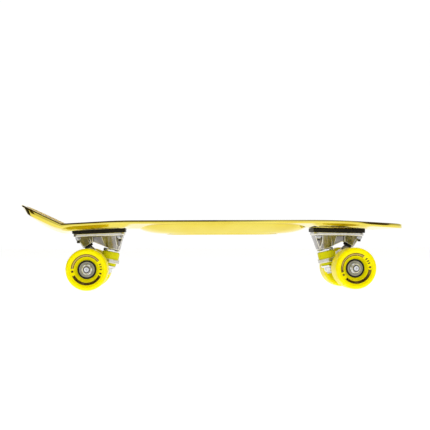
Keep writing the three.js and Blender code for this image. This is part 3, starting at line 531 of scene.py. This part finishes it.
# a flat slab with a given outline, made from a circle that is filled and extruded
def slabPiece(name, corners, low, high):
    clearSelection()
    bpy.ops.mesh.primitive_circle_add(vertices=len(corners), radius=0.1)
    piece = nameIt(bpy.context.object, name)
    places = np.column_stack([corners, np.full(len(corners), low)]) * mm
    piece.data.vertices.foreach_set("co", places.reshape(-1))
    bpy.ops.object.mode_set(mode="EDIT")
    bpy.ops.mesh.select_all(action="SELECT")
    bpy.ops.mesh.edge_face_add()
    bpy.ops.mesh.extrude_region_move(TRANSFORM_OT_translate={"value": (0, 0, (high - low) * mm)})
    closeUp()
    return piece


def roundedCorners(length, width, radius, steps=8):
    corners = []
    for quarter, (sideX, sideY) in enumerate(((1, 1), (-1, 1), (-1, -1), (1, -1))):
        for step in range(steps + 1):
            angle = math.radians(90 * (quarter + step / steps))
            corners.append((sideX * (length / 2 - radius) + radius * math.cos(angle),
                            sideY * (width / 2 - radius) + radius * math.sin(angle)))
    return corners


def cutWith(piece, tool, operation="DIFFERENCE"):
    applyModifier(piece, "BOOLEAN", object=tool, operation=operation, solver="MANIFOLD")
    dropModel(tool)


def boltCutter():
    keys = ("headRadius", "headHeight", "radius")
    headRadius, headHeight, shank = (bolt[key] + bolt["play"] for key in keys)
    below, above = bolt["cutterReach"]
    return turnedPiece("bolt_cutter", [(0, -below), (shank, -below), (shank, -headHeight), (headRadius, 0),
                                       (headRadius, above), (0, above)], 32, closed=False)


def cutBoltHoles(piece, cutter):
    for end in trucks:
        for x, y in boltPlaces():
            place = truckFrame(end) @ move(x, y, boltTop(end, x, y) - bolt["sink"])
            cutWith(piece, placedCopy(cutter, "tool", place))


# a block in the pad's outline, between two levels of (margin, height)
def seatBlock(name, *levels):
    rings = []
    for margin, height in levels:
        sizes = [seat[key] + 2 * margin for key in ("length", "width")]
        corners = roundedCorners(*sizes, seat["corner"] + margin)
        rings.append(np.column_stack([corners, np.full(len(corners), height)]))
    return ringedPiece(name, [rings[0] * (0, 0, 1)] + rings + [rings[-1] * (0, 0, 1)])


def buildDeck():
    low = deck["lowRounding"]
    levels = [(inset, waffle["bed"]) for inset in (deck["centre"], *deck["bedInsets"])]
    levels += [(waffle["border"] + inset, depth) for inset, depth in waffle["wallSteps"]]
    levels += [(inset, 0) for inset in deck["rimInsets"]]
    rings = [deckRing(inset, depth) for inset, depth in levels]
    x = outline[:, 0]
    for angle in deck["upperAngles"]:
        turn, size = math.radians(angle), upperRounding(x)
        rings.append(deckRing(size * (1 - math.cos(turn)), size * (1 - math.sin(turn))))
    for angle in deck["lowerAngles"]:
        turn = math.radians(angle)
        inset = low * (1 - math.cos(turn)) + tailLean(x)
        rings.append(deckRing(inset, edgeDepth(x) - low * (1 - math.sin(turn))))
    for inset in (*deck["underInsets"], deck["centre"]):
        rings.append(deckRing(inset + tailLean(x), edgeDepth(x) + underDrop(inset, x)))
    shell = ringedPiece("deck_shell", rings)
    bendToTop(shell)
    height, low, wide = truckPlan["seatHeight"], seat["margin"], seat["margin"] + seat["wall"]
    backing = seatBlock("backing", (wide, height), (wide + seat["draft"], height + seat["backing"]))
    room = seatBlock("room", (low, height - seat["roomHeight"]), (low, height))
    for end in trucks:
        place = truckFrame(end) @ move(truckPlan["baseplateInset"], 0, 0)
        cutWith(shell, placedCopy(backing, "seat_tool", place), "UNION")
        cutWith(shell, placedCopy(room, "seat_tool", place))
    dropModel(backing, room)
    cutter = boltCutter()
    cutBoltHoles(shell, cutter)
    smoothShade(shell, 30)
    finishPiece(shell, "board", "gold_chrome", "gold", "deck")
    return cutter


# waffle tread: a grid whose cells are inset twice, trimmed to the deck's border
def buildWaffle(cutter):
    pitch, (alongCells, acrossCells) = waffle["pitch"] * mm, waffle["cells"]
    clearSelection()
    bpy.ops.mesh.primitive_grid_add(x_subdivisions=alongCells, y_subdivisions=acrossCells, size=1,
                                    scale=(1, 1, 1))
    tread = nameIt(bpy.context.object, "waffle_tread")
    bpy.ops.object.mode_set(mode="EDIT")
    bpy.ops.mesh.select_all(action="SELECT")
    bpy.ops.transform.resize(value=(alongCells * pitch, acrossCells * pitch, 1))
    bpy.ops.mesh.inset(use_individual=True, thickness=waffle["ridge"] * mm)
    bpy.ops.mesh.inset(use_individual=True, thickness=waffle["slope"] * mm, depth=-waffle["depth"] * mm)
    bpy.ops.mesh.select_all(action="SELECT")
    base = (0, 0, -waffle["base"] * mm)
    bpy.ops.mesh.extrude_region_move(TRANSFORM_OT_translate={"value": base})
    bpy.ops.transform.resize(value=(1, 1, 0), center_override=base)
    closeUp()
    corners = deckRing(waffle["border"] + waffle["gap"], 0)[:, :2]
    cutWith(tread, slabPiece("border", corners, -waffle["slabReach"], waffle["slabReach"]), "INTERSECT")
    bendToTop(tread)
    cutBoltHoles(tread, cutter)
    dropModel(cutter)
    smoothShade(tread, 30)
    finishPiece(tread, "board", "gold_chrome", "goldTread")


def squared(value):
    return np.sign(value) * np.abs(value) ** (2 / hull["power"])


def hullRing(sideInset, endInset, depth):
    middle = (hull["tail"] + hull["nose"]) / 2
    reach = (hull["nose"] - hull["tail"]) / 2 - endInset
    breadth = deck["halfWidth"] - hull["edgeInset"] - sideInset
    angle = 2 * math.pi * (np.arange(hull["points"]) + 0.5) / hull["points"]
    x = middle + reach * squared(np.cos(angle))
    return np.stack([x, breadth * squared(np.sin(angle)), deckTop(x) - depth], axis=1)


def buildHull():
    side, end, lip = hull["wallRun"], hull["endRun"], hull["lip"]
    top, low = deck["edge"], hull["depth"] - hull["lip"]
    rings = [hullRing(0, 0, top / 2)]
    for angle in np.linspace(0, math.pi / 2, 20):
        fall, run = math.sin(angle), 1 - math.cos(angle)
        inset = side * fall ** hull["wallPower"]
        rings.append(hullRing(inset, end * run, top + (low - top) * fall))
    for angle in np.linspace(15, 90, 6):
        turn = math.radians(angle)
        inset = lip * (1 - math.cos(turn))
        rings.append(hullRing(side + inset, end + inset, low + lip * math.sin(turn)))
    side, end = side + hull["rim"], end + hull["rim"]
    for inset, depth in ((-1, 0), (-0.3, 0.3), (0, 1), (hull["draft"], hull["panelDepth"] + 0.5)):
        rings.append(hullRing(side + inset, end + inset, hull["depth"] - depth))
    piece = ringedPiece("hull_stiffener", rings, looped=True)
    finishPiece(piece, "board", "gold_chrome", "gold")


buildWaffle(buildDeck())
buildHull()
print("deck and hull made")


# wheels
wheel = {"sides": 96, "tread": 15, "half": 22.5, "radius": 29.5, "crest": 25, "dishDepth": 4.7,
         "edgePower": 0.9, "bore": 13.4, "middle": 52.9, "hubHalf": 12, "bearing": 11, "bearingWidth": 7,
         "coreRadius": 13.1, "coreStop": 4.9, "printTurn": {"front": 20, "rear": 0}}


def tyreOutline():
    half, dish = wheel["half"], wheel["half"] - wheel["dishDepth"]
    side = [(wheel["bore"], 11.7), (wheel["bore"] + 0.25, 12.05), (17.15, dish - 0.55), (17.45, dish - 0.12),
            (17.9, dish + 0.22), (21.7, half - 2.08), (23.6, half - 0.9), (24.3, half - 0.42),
            (24.8, half - 0.14)]
    for angle in np.linspace(90, 0, 10):
        turn = math.radians(angle)
        out, up = math.cos(turn) ** wheel["edgePower"], math.sin(turn) ** wheel["edgePower"]
        side.append((wheel["crest"] + (wheel["radius"] - wheel["crest"]) * out,
                     wheel["tread"] + (half - wheel["tread"]) * up))
    return side + [(radius, -across) for radius, across in reversed(side)]


def coreOutline():
    radius, half, seat = wheel["coreRadius"], wheel["hubHalf"], wheel["bearing"] + 0.05
    stop = wheel["coreStop"]
    side = [(9, 0), (9, stop), (seat, stop), (seat, half - 0.3), (seat + 0.3, half), (radius - 0.3, half),
            (radius, half - 0.3)]
    return side + [(r, -z) for r, z in reversed(side[1:])]


# one face of a shielded bearing as (radius, depth), mirrored to the other side
bearingFace = [(4.05, 0.25), (4.3, 0), (5.6, 0), (5.8, 0.25), (6.1, 0.5), (7.6, 0.42), (7.8, 0.55),
               (8.1, 0.42), (9.0, 0.42), (9.2, 0.15), (9.35, 0), (10.6, 0), (10.95, 0.35)]


def bearingOutline():
    return bearingFace + [(radius, wheel["bearingWidth"] - depth) for radius, depth in reversed(bearingFace)]


def buildWheels():
    models = {"tyre": turnedPiece("tyre", tyreOutline(), wheel["sides"]),
              "core": turnedPiece("core", coreOutline(), 72),
              "bearing": turnedPiece("bearing", bearingOutline(), 64)}
    middle, hub = wheel["middle"], wheel["hubHalf"]
    for end in trucks:
        for side, word in ((-1, "right"), (1, "left")):
            name = end + "_" + word + "_wheel"
            centre = Vector((trucks[end]["axle"], side * middle, truckPlan["axleHeight"])) * mm
            stand = Matrix.Translation(centre) @ turnAbout("X", -90 * side)
            tyre = placedCopy(models["tyre"], name + "_tyre_cast", stand)
            finish = tyreFinish(name + " urethane", centre, side, wheel["printTurn"][end])
            finishPiece(tyre, name, "urethane", finish, name + "_tyre")
            core = placedCopy(models["core"], name + "_core_moulding", stand)
            finishPiece(core, name, "black_plastic", "corePlastic", name + "_core")
            for label, low in (("_inner", -hub), ("_outer", hub - wheel["bearingWidth"])):
                bearing = placedCopy(models["bearing"], name + label + "_shielded_bearing",
                                     stand @ move(0, 0, low))
                finishPiece(bearing, name, "zinc_steel", "shield", name + label + "_bearing")
    dropModel(*models.values())


buildWheels()
print("wheels made")


# nuts: a hexagonal bar cut by a turned blank, which rounds its corners
nut = {"slope": 0.9, "proud": 0.2, "lead": (0.4, 0.3), "collarInset": 0.5, "collarEdge": 0.6,
       "lip": (0.9, 0.8), "recess": 0.5, "sides": 48}


def hexNut(name, across, height, bore, collar=0.0):
    clearSelection()
    bar = height - collar
    bpy.ops.mesh.primitive_cylinder_add(vertices=6, radius=across * mm / math.sqrt(3), depth=bar * mm,
                                        location=(0, 0, bar * mm / 2))
    piece = nameIt(bpy.context.object, name)
    bpy.ops.object.transform_apply(location=True)
    corner, flat, slope = across / math.sqrt(3) + nut["proud"], across / 2, nut["slope"]
    low, high = nut["lead"]
    blank = turnedPiece("blank", [(bore, low), (bore + low, 0), (flat, 0), (corner, slope),
                                  (corner, bar - slope), (flat, bar), (bore + high, bar),
                                  (bore, bar - high)], nut["sides"])
    applyModifier(piece, "BOOLEAN", object=blank, operation="INTERSECT", solver="EXACT")
    dropModel(blank)
    if collar:
        outer, edge = flat - nut["collarInset"], nut["collarEdge"]
        top, base = nut["lip"]
        start, recess = bar - nut["proud"], height - nut["recess"]
        ring = turnedPiece("collar", [(bore, start), (outer, start), (outer, height - edge),
                                      (outer - edge, height), (bore + top, height), (bore + base, recess),
                                      (bore, recess)], nut["sides"])
        applyModifier(piece, "BOOLEAN", object=ring, operation="UNION", solver="EXACT")
        dropModel(ring)
    smoothShade(piece, 30)
    return piece


# a thread as rings, each with its crest and root at these shares of the pitch
def threadOutline(radius, low, high, pitch, depth=0.35, shares=(0.1, 0.55)):
    points, height = [], low
    while height + pitch <= high + mergeReach:
        points += [(radius, height + shares[0] * pitch), (radius - depth, height + shares[1] * pitch)]
        height += pitch
    return points


# axles, their nuts and the speed washers
axle = {"radius": 4, "end": 74.3, "thread": 60, "pitch": 1.2, "nut": 65.8, "nutAcross": 12.7,
        "nutHeight": 6, "nutCollar": 1.6, "fit": 0.05, "endChamfer": 0.6,
        "centreHole": ((1.3, 0), (0.9, 0.7), (0.9, 2), (0, 2.6)), "insert": (3.9, 5.15, 4.7, 5.6),
        "washer": ((4.1, 0), (7.1, 0), (7.2, 0.1), (7.2, 0.7), (7.1, 0.8), (4.1, 0.8)),
        "washers": (("_inner", 40.05), ("_outer", 64.95))}


def buildAxles():
    end, radius, chamfer = axle["end"], axle["radius"], axle["endChamfer"]
    half = [(radius, axle["thread"])] + threadOutline(radius, axle["thread"], end - chamfer, axle["pitch"])
    half += [(radius - chamfer, end)] + [(across, end - depth) for across, depth in axle["centreHole"]]
    shaft = turnedPiece("shaft", [(r, -z) for r, z in reversed(half)] + half, 32, closed=False)
    lock = hexNut("axle_lock", axle["nutAcross"], axle["nutHeight"], radius + axle["fit"], axle["nutCollar"])
    bore, rim, low, high = axle["insert"]
    insert = turnedPiece("nylon", [(bore, low), (rim, low), (rim, high), (bore, high)], 48)
    washer = turnedPiece("washer", axle["washer"], 48)
    for name in trucks:
        body = name + "_truck"
        middle = truckFrame(name)
        piece = placedCopy(shaft, name + "_axle_rod", middle @ turnAbout("X", 90))
        finishPiece(piece, body, "zinc_steel", "steel", name + "_axle")
        for side in (1, -1):
            left = side > 0 if name == "rear" else side < 0
            word = "_left" if left else "_right"
            out = middle @ turnAbout("X", -90 * side)
            piece = placedCopy(lock, name + word + "_lock_nut", out @ move(0, 0, axle["nut"]))
            finishPiece(piece, body, "zinc_steel", "steel", name + word + "_axle_nut")
            piece = placedCopy(insert, name + word + "_nylon_ring", out @ move(0, 0, axle["nut"]))
            finishPiece(piece, body, "zinc_steel", "nylon")
            for label, start in axle["washers"]:
                piece = placedCopy(washer, name + word + label + "_speed_washer", out @ move(0, 0, start))
                finishPiece(piece, body, "zinc_steel", "washerSteel")
    dropModel(shaft, lock, insert, washer)


buildAxles()
print("axles, nuts and washers made")


# castings: a merged copy of the node, evened out and softened like a sand casting
casting = {"voxel": 0.45, "smooth": 9, "factor": 0.5, "edgeHighlight": (0.008, 0.025), "padVoxel": 0.6,
           "padSmooth": 2, "flangeSide": 0.6, "flangeEdge": 0.5}


def softCopy(node, name, voxel, rounds):
    piece = placedCopy(bpy.data.objects[node], name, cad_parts[node].matrix_world.copy())
    pickOnly(piece)
    bpy.ops.object.mode_set(mode="EDIT")
    bpy.ops.mesh.select_all(action="SELECT")
    bpy.ops.mesh.remove_doubles(threshold=mergeReach)
    bpy.ops.object.mode_set(mode="OBJECT")
    applyModifier(piece, "REMESH", mode="VOXEL", voxel_size=voxel * mm)
    applyModifier(piece, "SMOOTH", factor=casting["factor"], iterations=rounds)
    bpy.ops.object.shade_smooth()
    return piece


# how far each point stands proud of its neighbours, for the painted highlight on the bright edges
def markEdgeHighlights(piece):
    mesh = piece.data
    places, normals = np.empty((2, len(mesh.vertices), 3), dtype=np.float32)
    mesh.vertices.foreach_get("co", places.ravel())
    mesh.vertex_normals.foreach_get("vector", normals.ravel())
    ends = np.empty((len(mesh.edges), 2), dtype=np.int32)
    mesh.edges.foreach_get("vertices", ends.ravel())
    proud, neighbours = np.zeros((2, len(places)))
    for here, there in (ends.T, ends.T[::-1]):
        rise = ((places[here] - places[there]) * normals[here]).sum(axis=1)
        proud += np.bincount(here, rise, len(places))
        neighbours += np.bincount(here, minlength=len(places))
    share = proud / np.maximum(neighbours, 1) / mm
    edgeHighlight = mesh.attributes.new("edgeHighlight", "FLOAT", "POINT")
    edgeHighlight.data.foreach_set("value", smoothStep(share, *casting["edgeHighlight"]).astype(np.float32))


# the flange's sides take the lighter copy of the cast finish, a painted highlight, unlike the rest of the
# casting
def brightenFlange(piece, end):
    piece.data.materials.append(finishes["litCast"])
    inside = truckFrame(end).inverted()
    low = (truckPlan["baseplateTop"] - truckPlan["flange"] + casting["flangeEdge"]) * mm
    turn = inside.to_3x3()
    for face in piece.data.polygons:
        if (inside @ face.center).z > low and abs((turn @ face.normal).z) < casting["flangeSide"]:
            face.material_index = 1


def buildCastings():
    for end in trucks:
        piece = softCopy(end + "_baseplate", end + "_baseplate_casting", casting["voxel"], casting["smooth"])
        finishPiece(piece, "board", "cast_aluminium", "cast", end + "_baseplate")
        markEdgeHighlights(piece)
        brightenFlange(piece, end)
        piece = softCopy(end + "_hanger", end + "_hanger_casting", casting["voxel"], casting["smooth"])
        # painted highlight: the hanger takes the lighter copy of the cast finish
        finishPiece(piece, end + "_truck", "cast_aluminium", "litCast", end + "_hanger")
        markEdgeHighlights(piece)
        piece = softCopy(end + "_riser_pad", end + "_riser_pad_moulding", casting["padVoxel"],
                         casting["padSmooth"])
        finishPiece(piece, "board", "black_rubber", "rubber", end + "_riser_pad")


buildCastings()
print("castings and pads made")


# kingpin stack, in the kingpin's frame: depths run down from the boss face
stack = {"upperWasher": 1.8, "boardTop": 2.1, "boardEnd": 15.4, "roadTop": 19.9, "roadEnd": 26.2,
         "lowerWasher": 26.5, "nutTop": 28.3, "tail": 37.5, "shank": 4.75, "shankTop": 15.5,
         "headLow": 14.3, "threadTop": 24, "pitch": 1.3, "nut": (14.3, 6.7), "nutCollar": 1.8,
         "head": (14.3, 6.0), "headBore": 1.0, "tailChamfer": (0.7, 0.6), "threadRun": 1, "fit": 0.05,
         "upperCup": (11.0, 3.7), "lowerCup": (9.6, 3.1),
         "boardBushing": (12.6, 13.3, 1.6, 2.2), "roadBushing": (10.6, 6.3, 1.0, 1.6)}


def cupOutline(bushingEnd, height):
    inner, outer, lip = bushingEnd + 0.3, bushingEnd + 1.4, 1.5 - height
    return [(5.05, 0), (inner - 0.4, 0), (inner, -0.4), (inner, lip), (outer - 0.2, lip), (outer, lip + 0.2),
            (outer, 0.5), (outer - 0.3, 1.1), (outer - 0.9, 1.5), (5.3, 1.5), (5.05, 1.25)]


def bushingOutline(radius, length, waist, lip):
    return [(5.0, -length), (radius - 0.5, -length), (radius, -length + 0.5), (radius, -lip - waist - 0.6),
            (radius - 0.3, -lip - waist * 0.55), (radius - waist, -lip + 0.1), (radius - waist, -0.4),
            (radius - waist - 0.4, 0), (5.0, 0)]


def buildStacks():
    models = {
        "upper_cup": turnedPiece("upper_cup", cupOutline(*stack["upperCup"]), 56),
        "lower_cup": turnedPiece("lower_cup", cupOutline(*stack["lowerCup"]), 56),
        "board": turnedPiece("board_bushing", bushingOutline(*stack["boardBushing"]), 64),
        "road": turnedPiece("road_bushing", bushingOutline(*stack["roadBushing"]), 64),
        "nut": hexNut("kingpin_lock", *stack["nut"], stack["shank"] + stack["fit"], stack["nutCollar"]),
        "head": hexNut("kingpin_head", *stack["head"], stack["headBore"]),
    }
    low, top, radius = -stack["tail"], stack["shankTop"], stack["shank"]
    inset, rise = stack["tailChamfer"]
    thread = threadOutline(radius, low + rise, -stack["threadTop"], stack["pitch"])
    shank = [(0, low), (radius - inset, low)] + thread
    shank += [(radius, stack["threadRun"] - stack["threadTop"]), (radius, top), (0, top)]
    models["shank"] = turnedPiece("kingpin_shank", shank, 36, closed=False)
    for end in trucks:
        top = sideFrame(end, "kingpin")
        body, truck = "board", end + "_truck"
        flip = turnAbout("X", 180)
        piece = placedCopy(models["upper_cup"], end + "_upper_cup", top @ move(0, 0, -stack["upperWasher"]))
        finishPiece(piece, body, "zinc_steel", "washerSteel", end + "_upper_cup_washer")
        piece = placedCopy(models["lower_cup"], end + "_lower_cup",
                           top @ move(0, 0, -stack["lowerWasher"]) @ flip)
        finishPiece(piece, body, "zinc_steel", "washerSteel", end + "_lower_cup_washer")
        piece = placedCopy(models["nut"], end + "_kingpin_lock_nut",
                           top @ move(0, 0, -stack["nutTop"]) @ flip)
        finishPiece(piece, body, "zinc_steel", "steel", end + "_kingpin_nut")
        piece = placedCopy(models["shank"], end + "_kingpin_bolt", top)
        finishPiece(piece, body, "zinc_steel", "steel", end + "_kingpin")
        piece = placedCopy(models["head"], end + "_kingpin_head", top @ move(0, 0, stack["headLow"]))
        finishPiece(piece, body, "zinc_steel", "steel")
        ends = {"board": (-stack["boardTop"], -stack["boardEnd"], Matrix.Identity(4)),
                "road": (-stack["roadEnd"], -stack["roadTop"], flip)}
        for key, (fixed, moving, turned) in ends.items():
            piece = placedCopy(models[key], end + "_" + key + "_side_urethane",
                               top @ move(0, 0, fixed) @ turned)
            piece.data.materials.append(finishes["bushing"])
            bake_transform(piece)
            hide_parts(end + "_" + key + "_side_bushing")
    dropModel(*models.values())


buildStacks()
print("kingpin stacks made")


# pivot cups
cup = {"outer": 6.5, "collar": 3.2, "depth": 9, "mouth": 5.2, "cavity": 4.7, "ball": 3, "chamfer": 0.5}


def buildCups():
    points = [(0, cup["ball"] + cup["cavity"])]
    for angle in range(80, -10, -10):
        turn = math.radians(angle)
        points.append((cup["cavity"] * math.cos(turn), cup["ball"] + cup["cavity"] * math.sin(turn)))
    outer, face, chamfer = cup["outer"], -cup["collar"], cup["chamfer"]
    points += [(cup["mouth"], face), (outer - chamfer, face), (outer, face + chamfer),
               (outer, cup["depth"]), (0, cup["depth"])]
    model = turnedPiece("cup", points, 48, closed=False)
    for end in trucks:
        piece = placedCopy(model, end + "_pivot_cup_rubber", sideFrame(end, "pivot"))
        finishPiece(piece, "board", "black_rubber", "rubber", end + "_pivot_cup")
    dropModel(model)


buildCups()
print("pivot cups made")


# deck bolts with a cross recess, and their nuts
def buildBolts():
    radius, head = bolt["radius"], bolt["headRadius"]
    thread = threadOutline(radius, -bolt["length"] + 0.5, -bolt["threadEnd"], bolt["pitch"],
                           bolt["threadDepth"])
    points = [(0, -bolt["length"]), (radius - 0.5, -bolt["length"])] + thread
    points += [(radius, 0.5 - bolt["threadEnd"]), (radius, -bolt["headHeight"]), (head - 0.1, -0.15),
               (head - 0.15, 0), (0, 0)]
    model = turnedPiece("bolt", points, 28, closed=False)
    for angle in (0, 90):
        clearSelection()
        bpy.ops.mesh.primitive_cube_add(size=1, location=(0, 0, 0), rotation=(0, 0, math.radians(angle)),
                                        scale=[side * mm for side in bolt["cross"]])
        cross = bpy.context.object
        bpy.ops.object.transform_apply(location=True, rotation=True, scale=True)
        applyModifier(model, "BOOLEAN", object=cross, operation="DIFFERENCE", solver="EXACT")
        dropModel(cross)
    smoothShade(model, 30)
    lock = hexNut("deck_lock", *bolt["nut"], radius + axle["fit"], bolt["nutCollar"])
    for end in trucks:
        for index, (x, y) in enumerate(boltPlaces(), 1):
            stand = truckFrame(end)
            top = boltTop(end, x, y) - bolt["sink"]
            piece = placedCopy(model, end + "_cross_bolt_" + str(index), stand @ move(x, y, top))
            finishPiece(piece, "board", "black_steel", "blackSteel", end + "_deck_bolt_" + str(index))
            under = truckPlan["baseplateTop"] - truckPlan["flange"] - truckPlan["clearance"]
            piece = placedCopy(lock, end + "_lock_nut_" + str(index),
                               stand @ move(x, y, under) @ turnAbout("X", 180))
            finishPiece(piece, "board", "zinc_steel", "steel", end + "_deck_nut_" + str(index))
    dropModel(model, lock)


buildBolts()
print("deck bolts made")


# floor, world and lights: the reaches are heights or sides of a mirrored ray's direction
studio = {"floor": 40.0, "floorColor": (0.3, 0.3, 0.3), "floorGlow": 0.92, "backdrop": 1.02,
          "front": 0.7, "strip": 0.75, "stripReach": (0.06, 0.3), "backReach": (-0.35, 0.2),
          "dark": (0.06, 0.042, 0.008), "ceiling": (0.24, 0.46), "skylight": (0.03, 0.1),
          "skyEnd": (0.2, 0.28), "skyShare": 0.2, "left": (0.54, 0.68), "leftWay": (-0.978, 0.208),
          "right": (0.66, 0.78), "rightEnd": (-0.3, -0.1), "rightFade": 0.45,
          "flagColor": (0.02, 0.014, 0.003), "flagPlace": (-0.335, 0.035, 0.1075),
          "flagSize": (0.135, 0.17), "aim": (0, 0, 0.06)}
lights = {
    "key light": {"place": (-1.3, -1.7, 1.4), "size": 1.5, "power": 17},
    "fill light": {"place": (1.7, -1.5, 0.7), "size": 1.8, "power": 11},
    "top light": {"place": (0.1, 0.3, 2.0), "size": 1.6, "power": 20},
}


def addFloor():
    clearSelection()
    bpy.ops.mesh.primitive_plane_add(size=studio["floor"], location=(0, 0, 0))
    floor = nameIt(bpy.context.object, "floor")
    material, tree, shader = newMaterial("floor", studio["floorColor"], 0.9)
    shader.inputs["Emission Color"].default_value = (1, 1, 1, 1)
    shader.inputs["Emission Strength"].default_value = studio["floorGlow"]
    floor.data.materials.append(material)


# a dark card stands beyond the tail, and shows only in what mirrors it
def addFlag():
    clearSelection()
    bpy.ops.mesh.primitive_plane_add(size=1, location=studio["flagPlace"])
    flag = nameIt(bpy.context.object, "flag")
    flag.scale = (*studio["flagSize"], 1)
    flag.rotation_euler = (0, math.pi / 2, 0)
    flag.data.materials.append(newMaterial("flag", studio["flagColor"], 0.9)[0])
    flag.visible_camera = flag.visible_diffuse = flag.visible_shadow = False


# mirrored rays see a room with dark parts, and the camera sees a plain backdrop
def addWorld():
    world = bpy.data.worlds.new("studio")
    bpy.context.scene.world = world
    world.use_nodes = True
    tree = world.node_tree
    axes = addNode(tree, "SeparateXYZ", {0: addNode(tree, "TexCoord").outputs["Generated"]}).outputs
    bright = studio["front"] + studio["strip"]
    front = spread(tree, axes[2], *studio["stripReach"], studio["front"], bright, True)
    back = spread(tree, axes[1], *studio["backReach"], 0, 1, True)
    wall = calc(tree, "ADD", calc(tree, "MULTIPLY", front, calc(tree, "SUBTRACT", 1.0, back)),
                calc(tree, "MULTIPLY", back, studio["backdrop"]))
    sky = calc(tree, "MULTIPLY", spread(tree, axes[0], *studio["skylight"], 0, studio["skyShare"], True),
               spread(tree, axes[0], *studio["skyEnd"], 1, 0, True))
    unlit = calc(tree, "MULTIPLY", spread(tree, axes[2], *studio["ceiling"], 0, 1, True),
                 calc(tree, "SUBTRACT", 1.0, sky))
    wayX, wayY = studio["leftWay"]
    toLeft = calc(tree, "ADD", calc(tree, "MULTIPLY", axes[0], wayX), calc(tree, "MULTIPLY", axes[1], wayY))
    left = spread(tree, toLeft, *studio["left"], 0, 1, True)
    right = calc(tree, "MULTIPLY", spread(tree, axes[0], *studio["right"], 0, 1, True),
                 spread(tree, axes[1], *studio["rightEnd"], 1, studio["rightFade"], True))
    share = calc(tree, "SUBTRACT", 1.0, calc(tree, "MAXIMUM", unlit, calc(tree, "MAXIMUM", left, right)))
    lit = addNode(tree, "CombineXYZ", {0: wall, 1: wall, 2: wall}).outputs[0]
    shade = blendColors(tree, share, studio["dark"], lit)
    background = tree.nodes["Background"]
    seen = addNode(tree, "LightPath").outputs["Is Camera Ray"]
    tree.links.new(blendColors(tree, seen, shade, [studio["backdrop"]] * 3), background.inputs["Color"])
    background.inputs["Strength"].default_value = 1.0


def addLight(name, place, size, power):
    lamp = bpy.data.lights.new(name, "AREA")
    lamp.shape = "RECTANGLE"
    lamp.size, lamp.size_y = size, size * 0.6
    lamp.energy = power
    light = bpy.data.objects.new(name, lamp)
    light.location = place
    light.rotation_euler = (Vector(studio["aim"]) - Vector(place)).to_track_quat("-Z", "Y").to_euler()
    light.visible_glossy = False
    bpy.context.collection.objects.link(light)


addFloor()
addFlag()
addWorld()
for name, light in lights.items():
    addLight(name, **light)
bpy.context.scene.view_settings.view_transform = "Standard"
print("studio made")
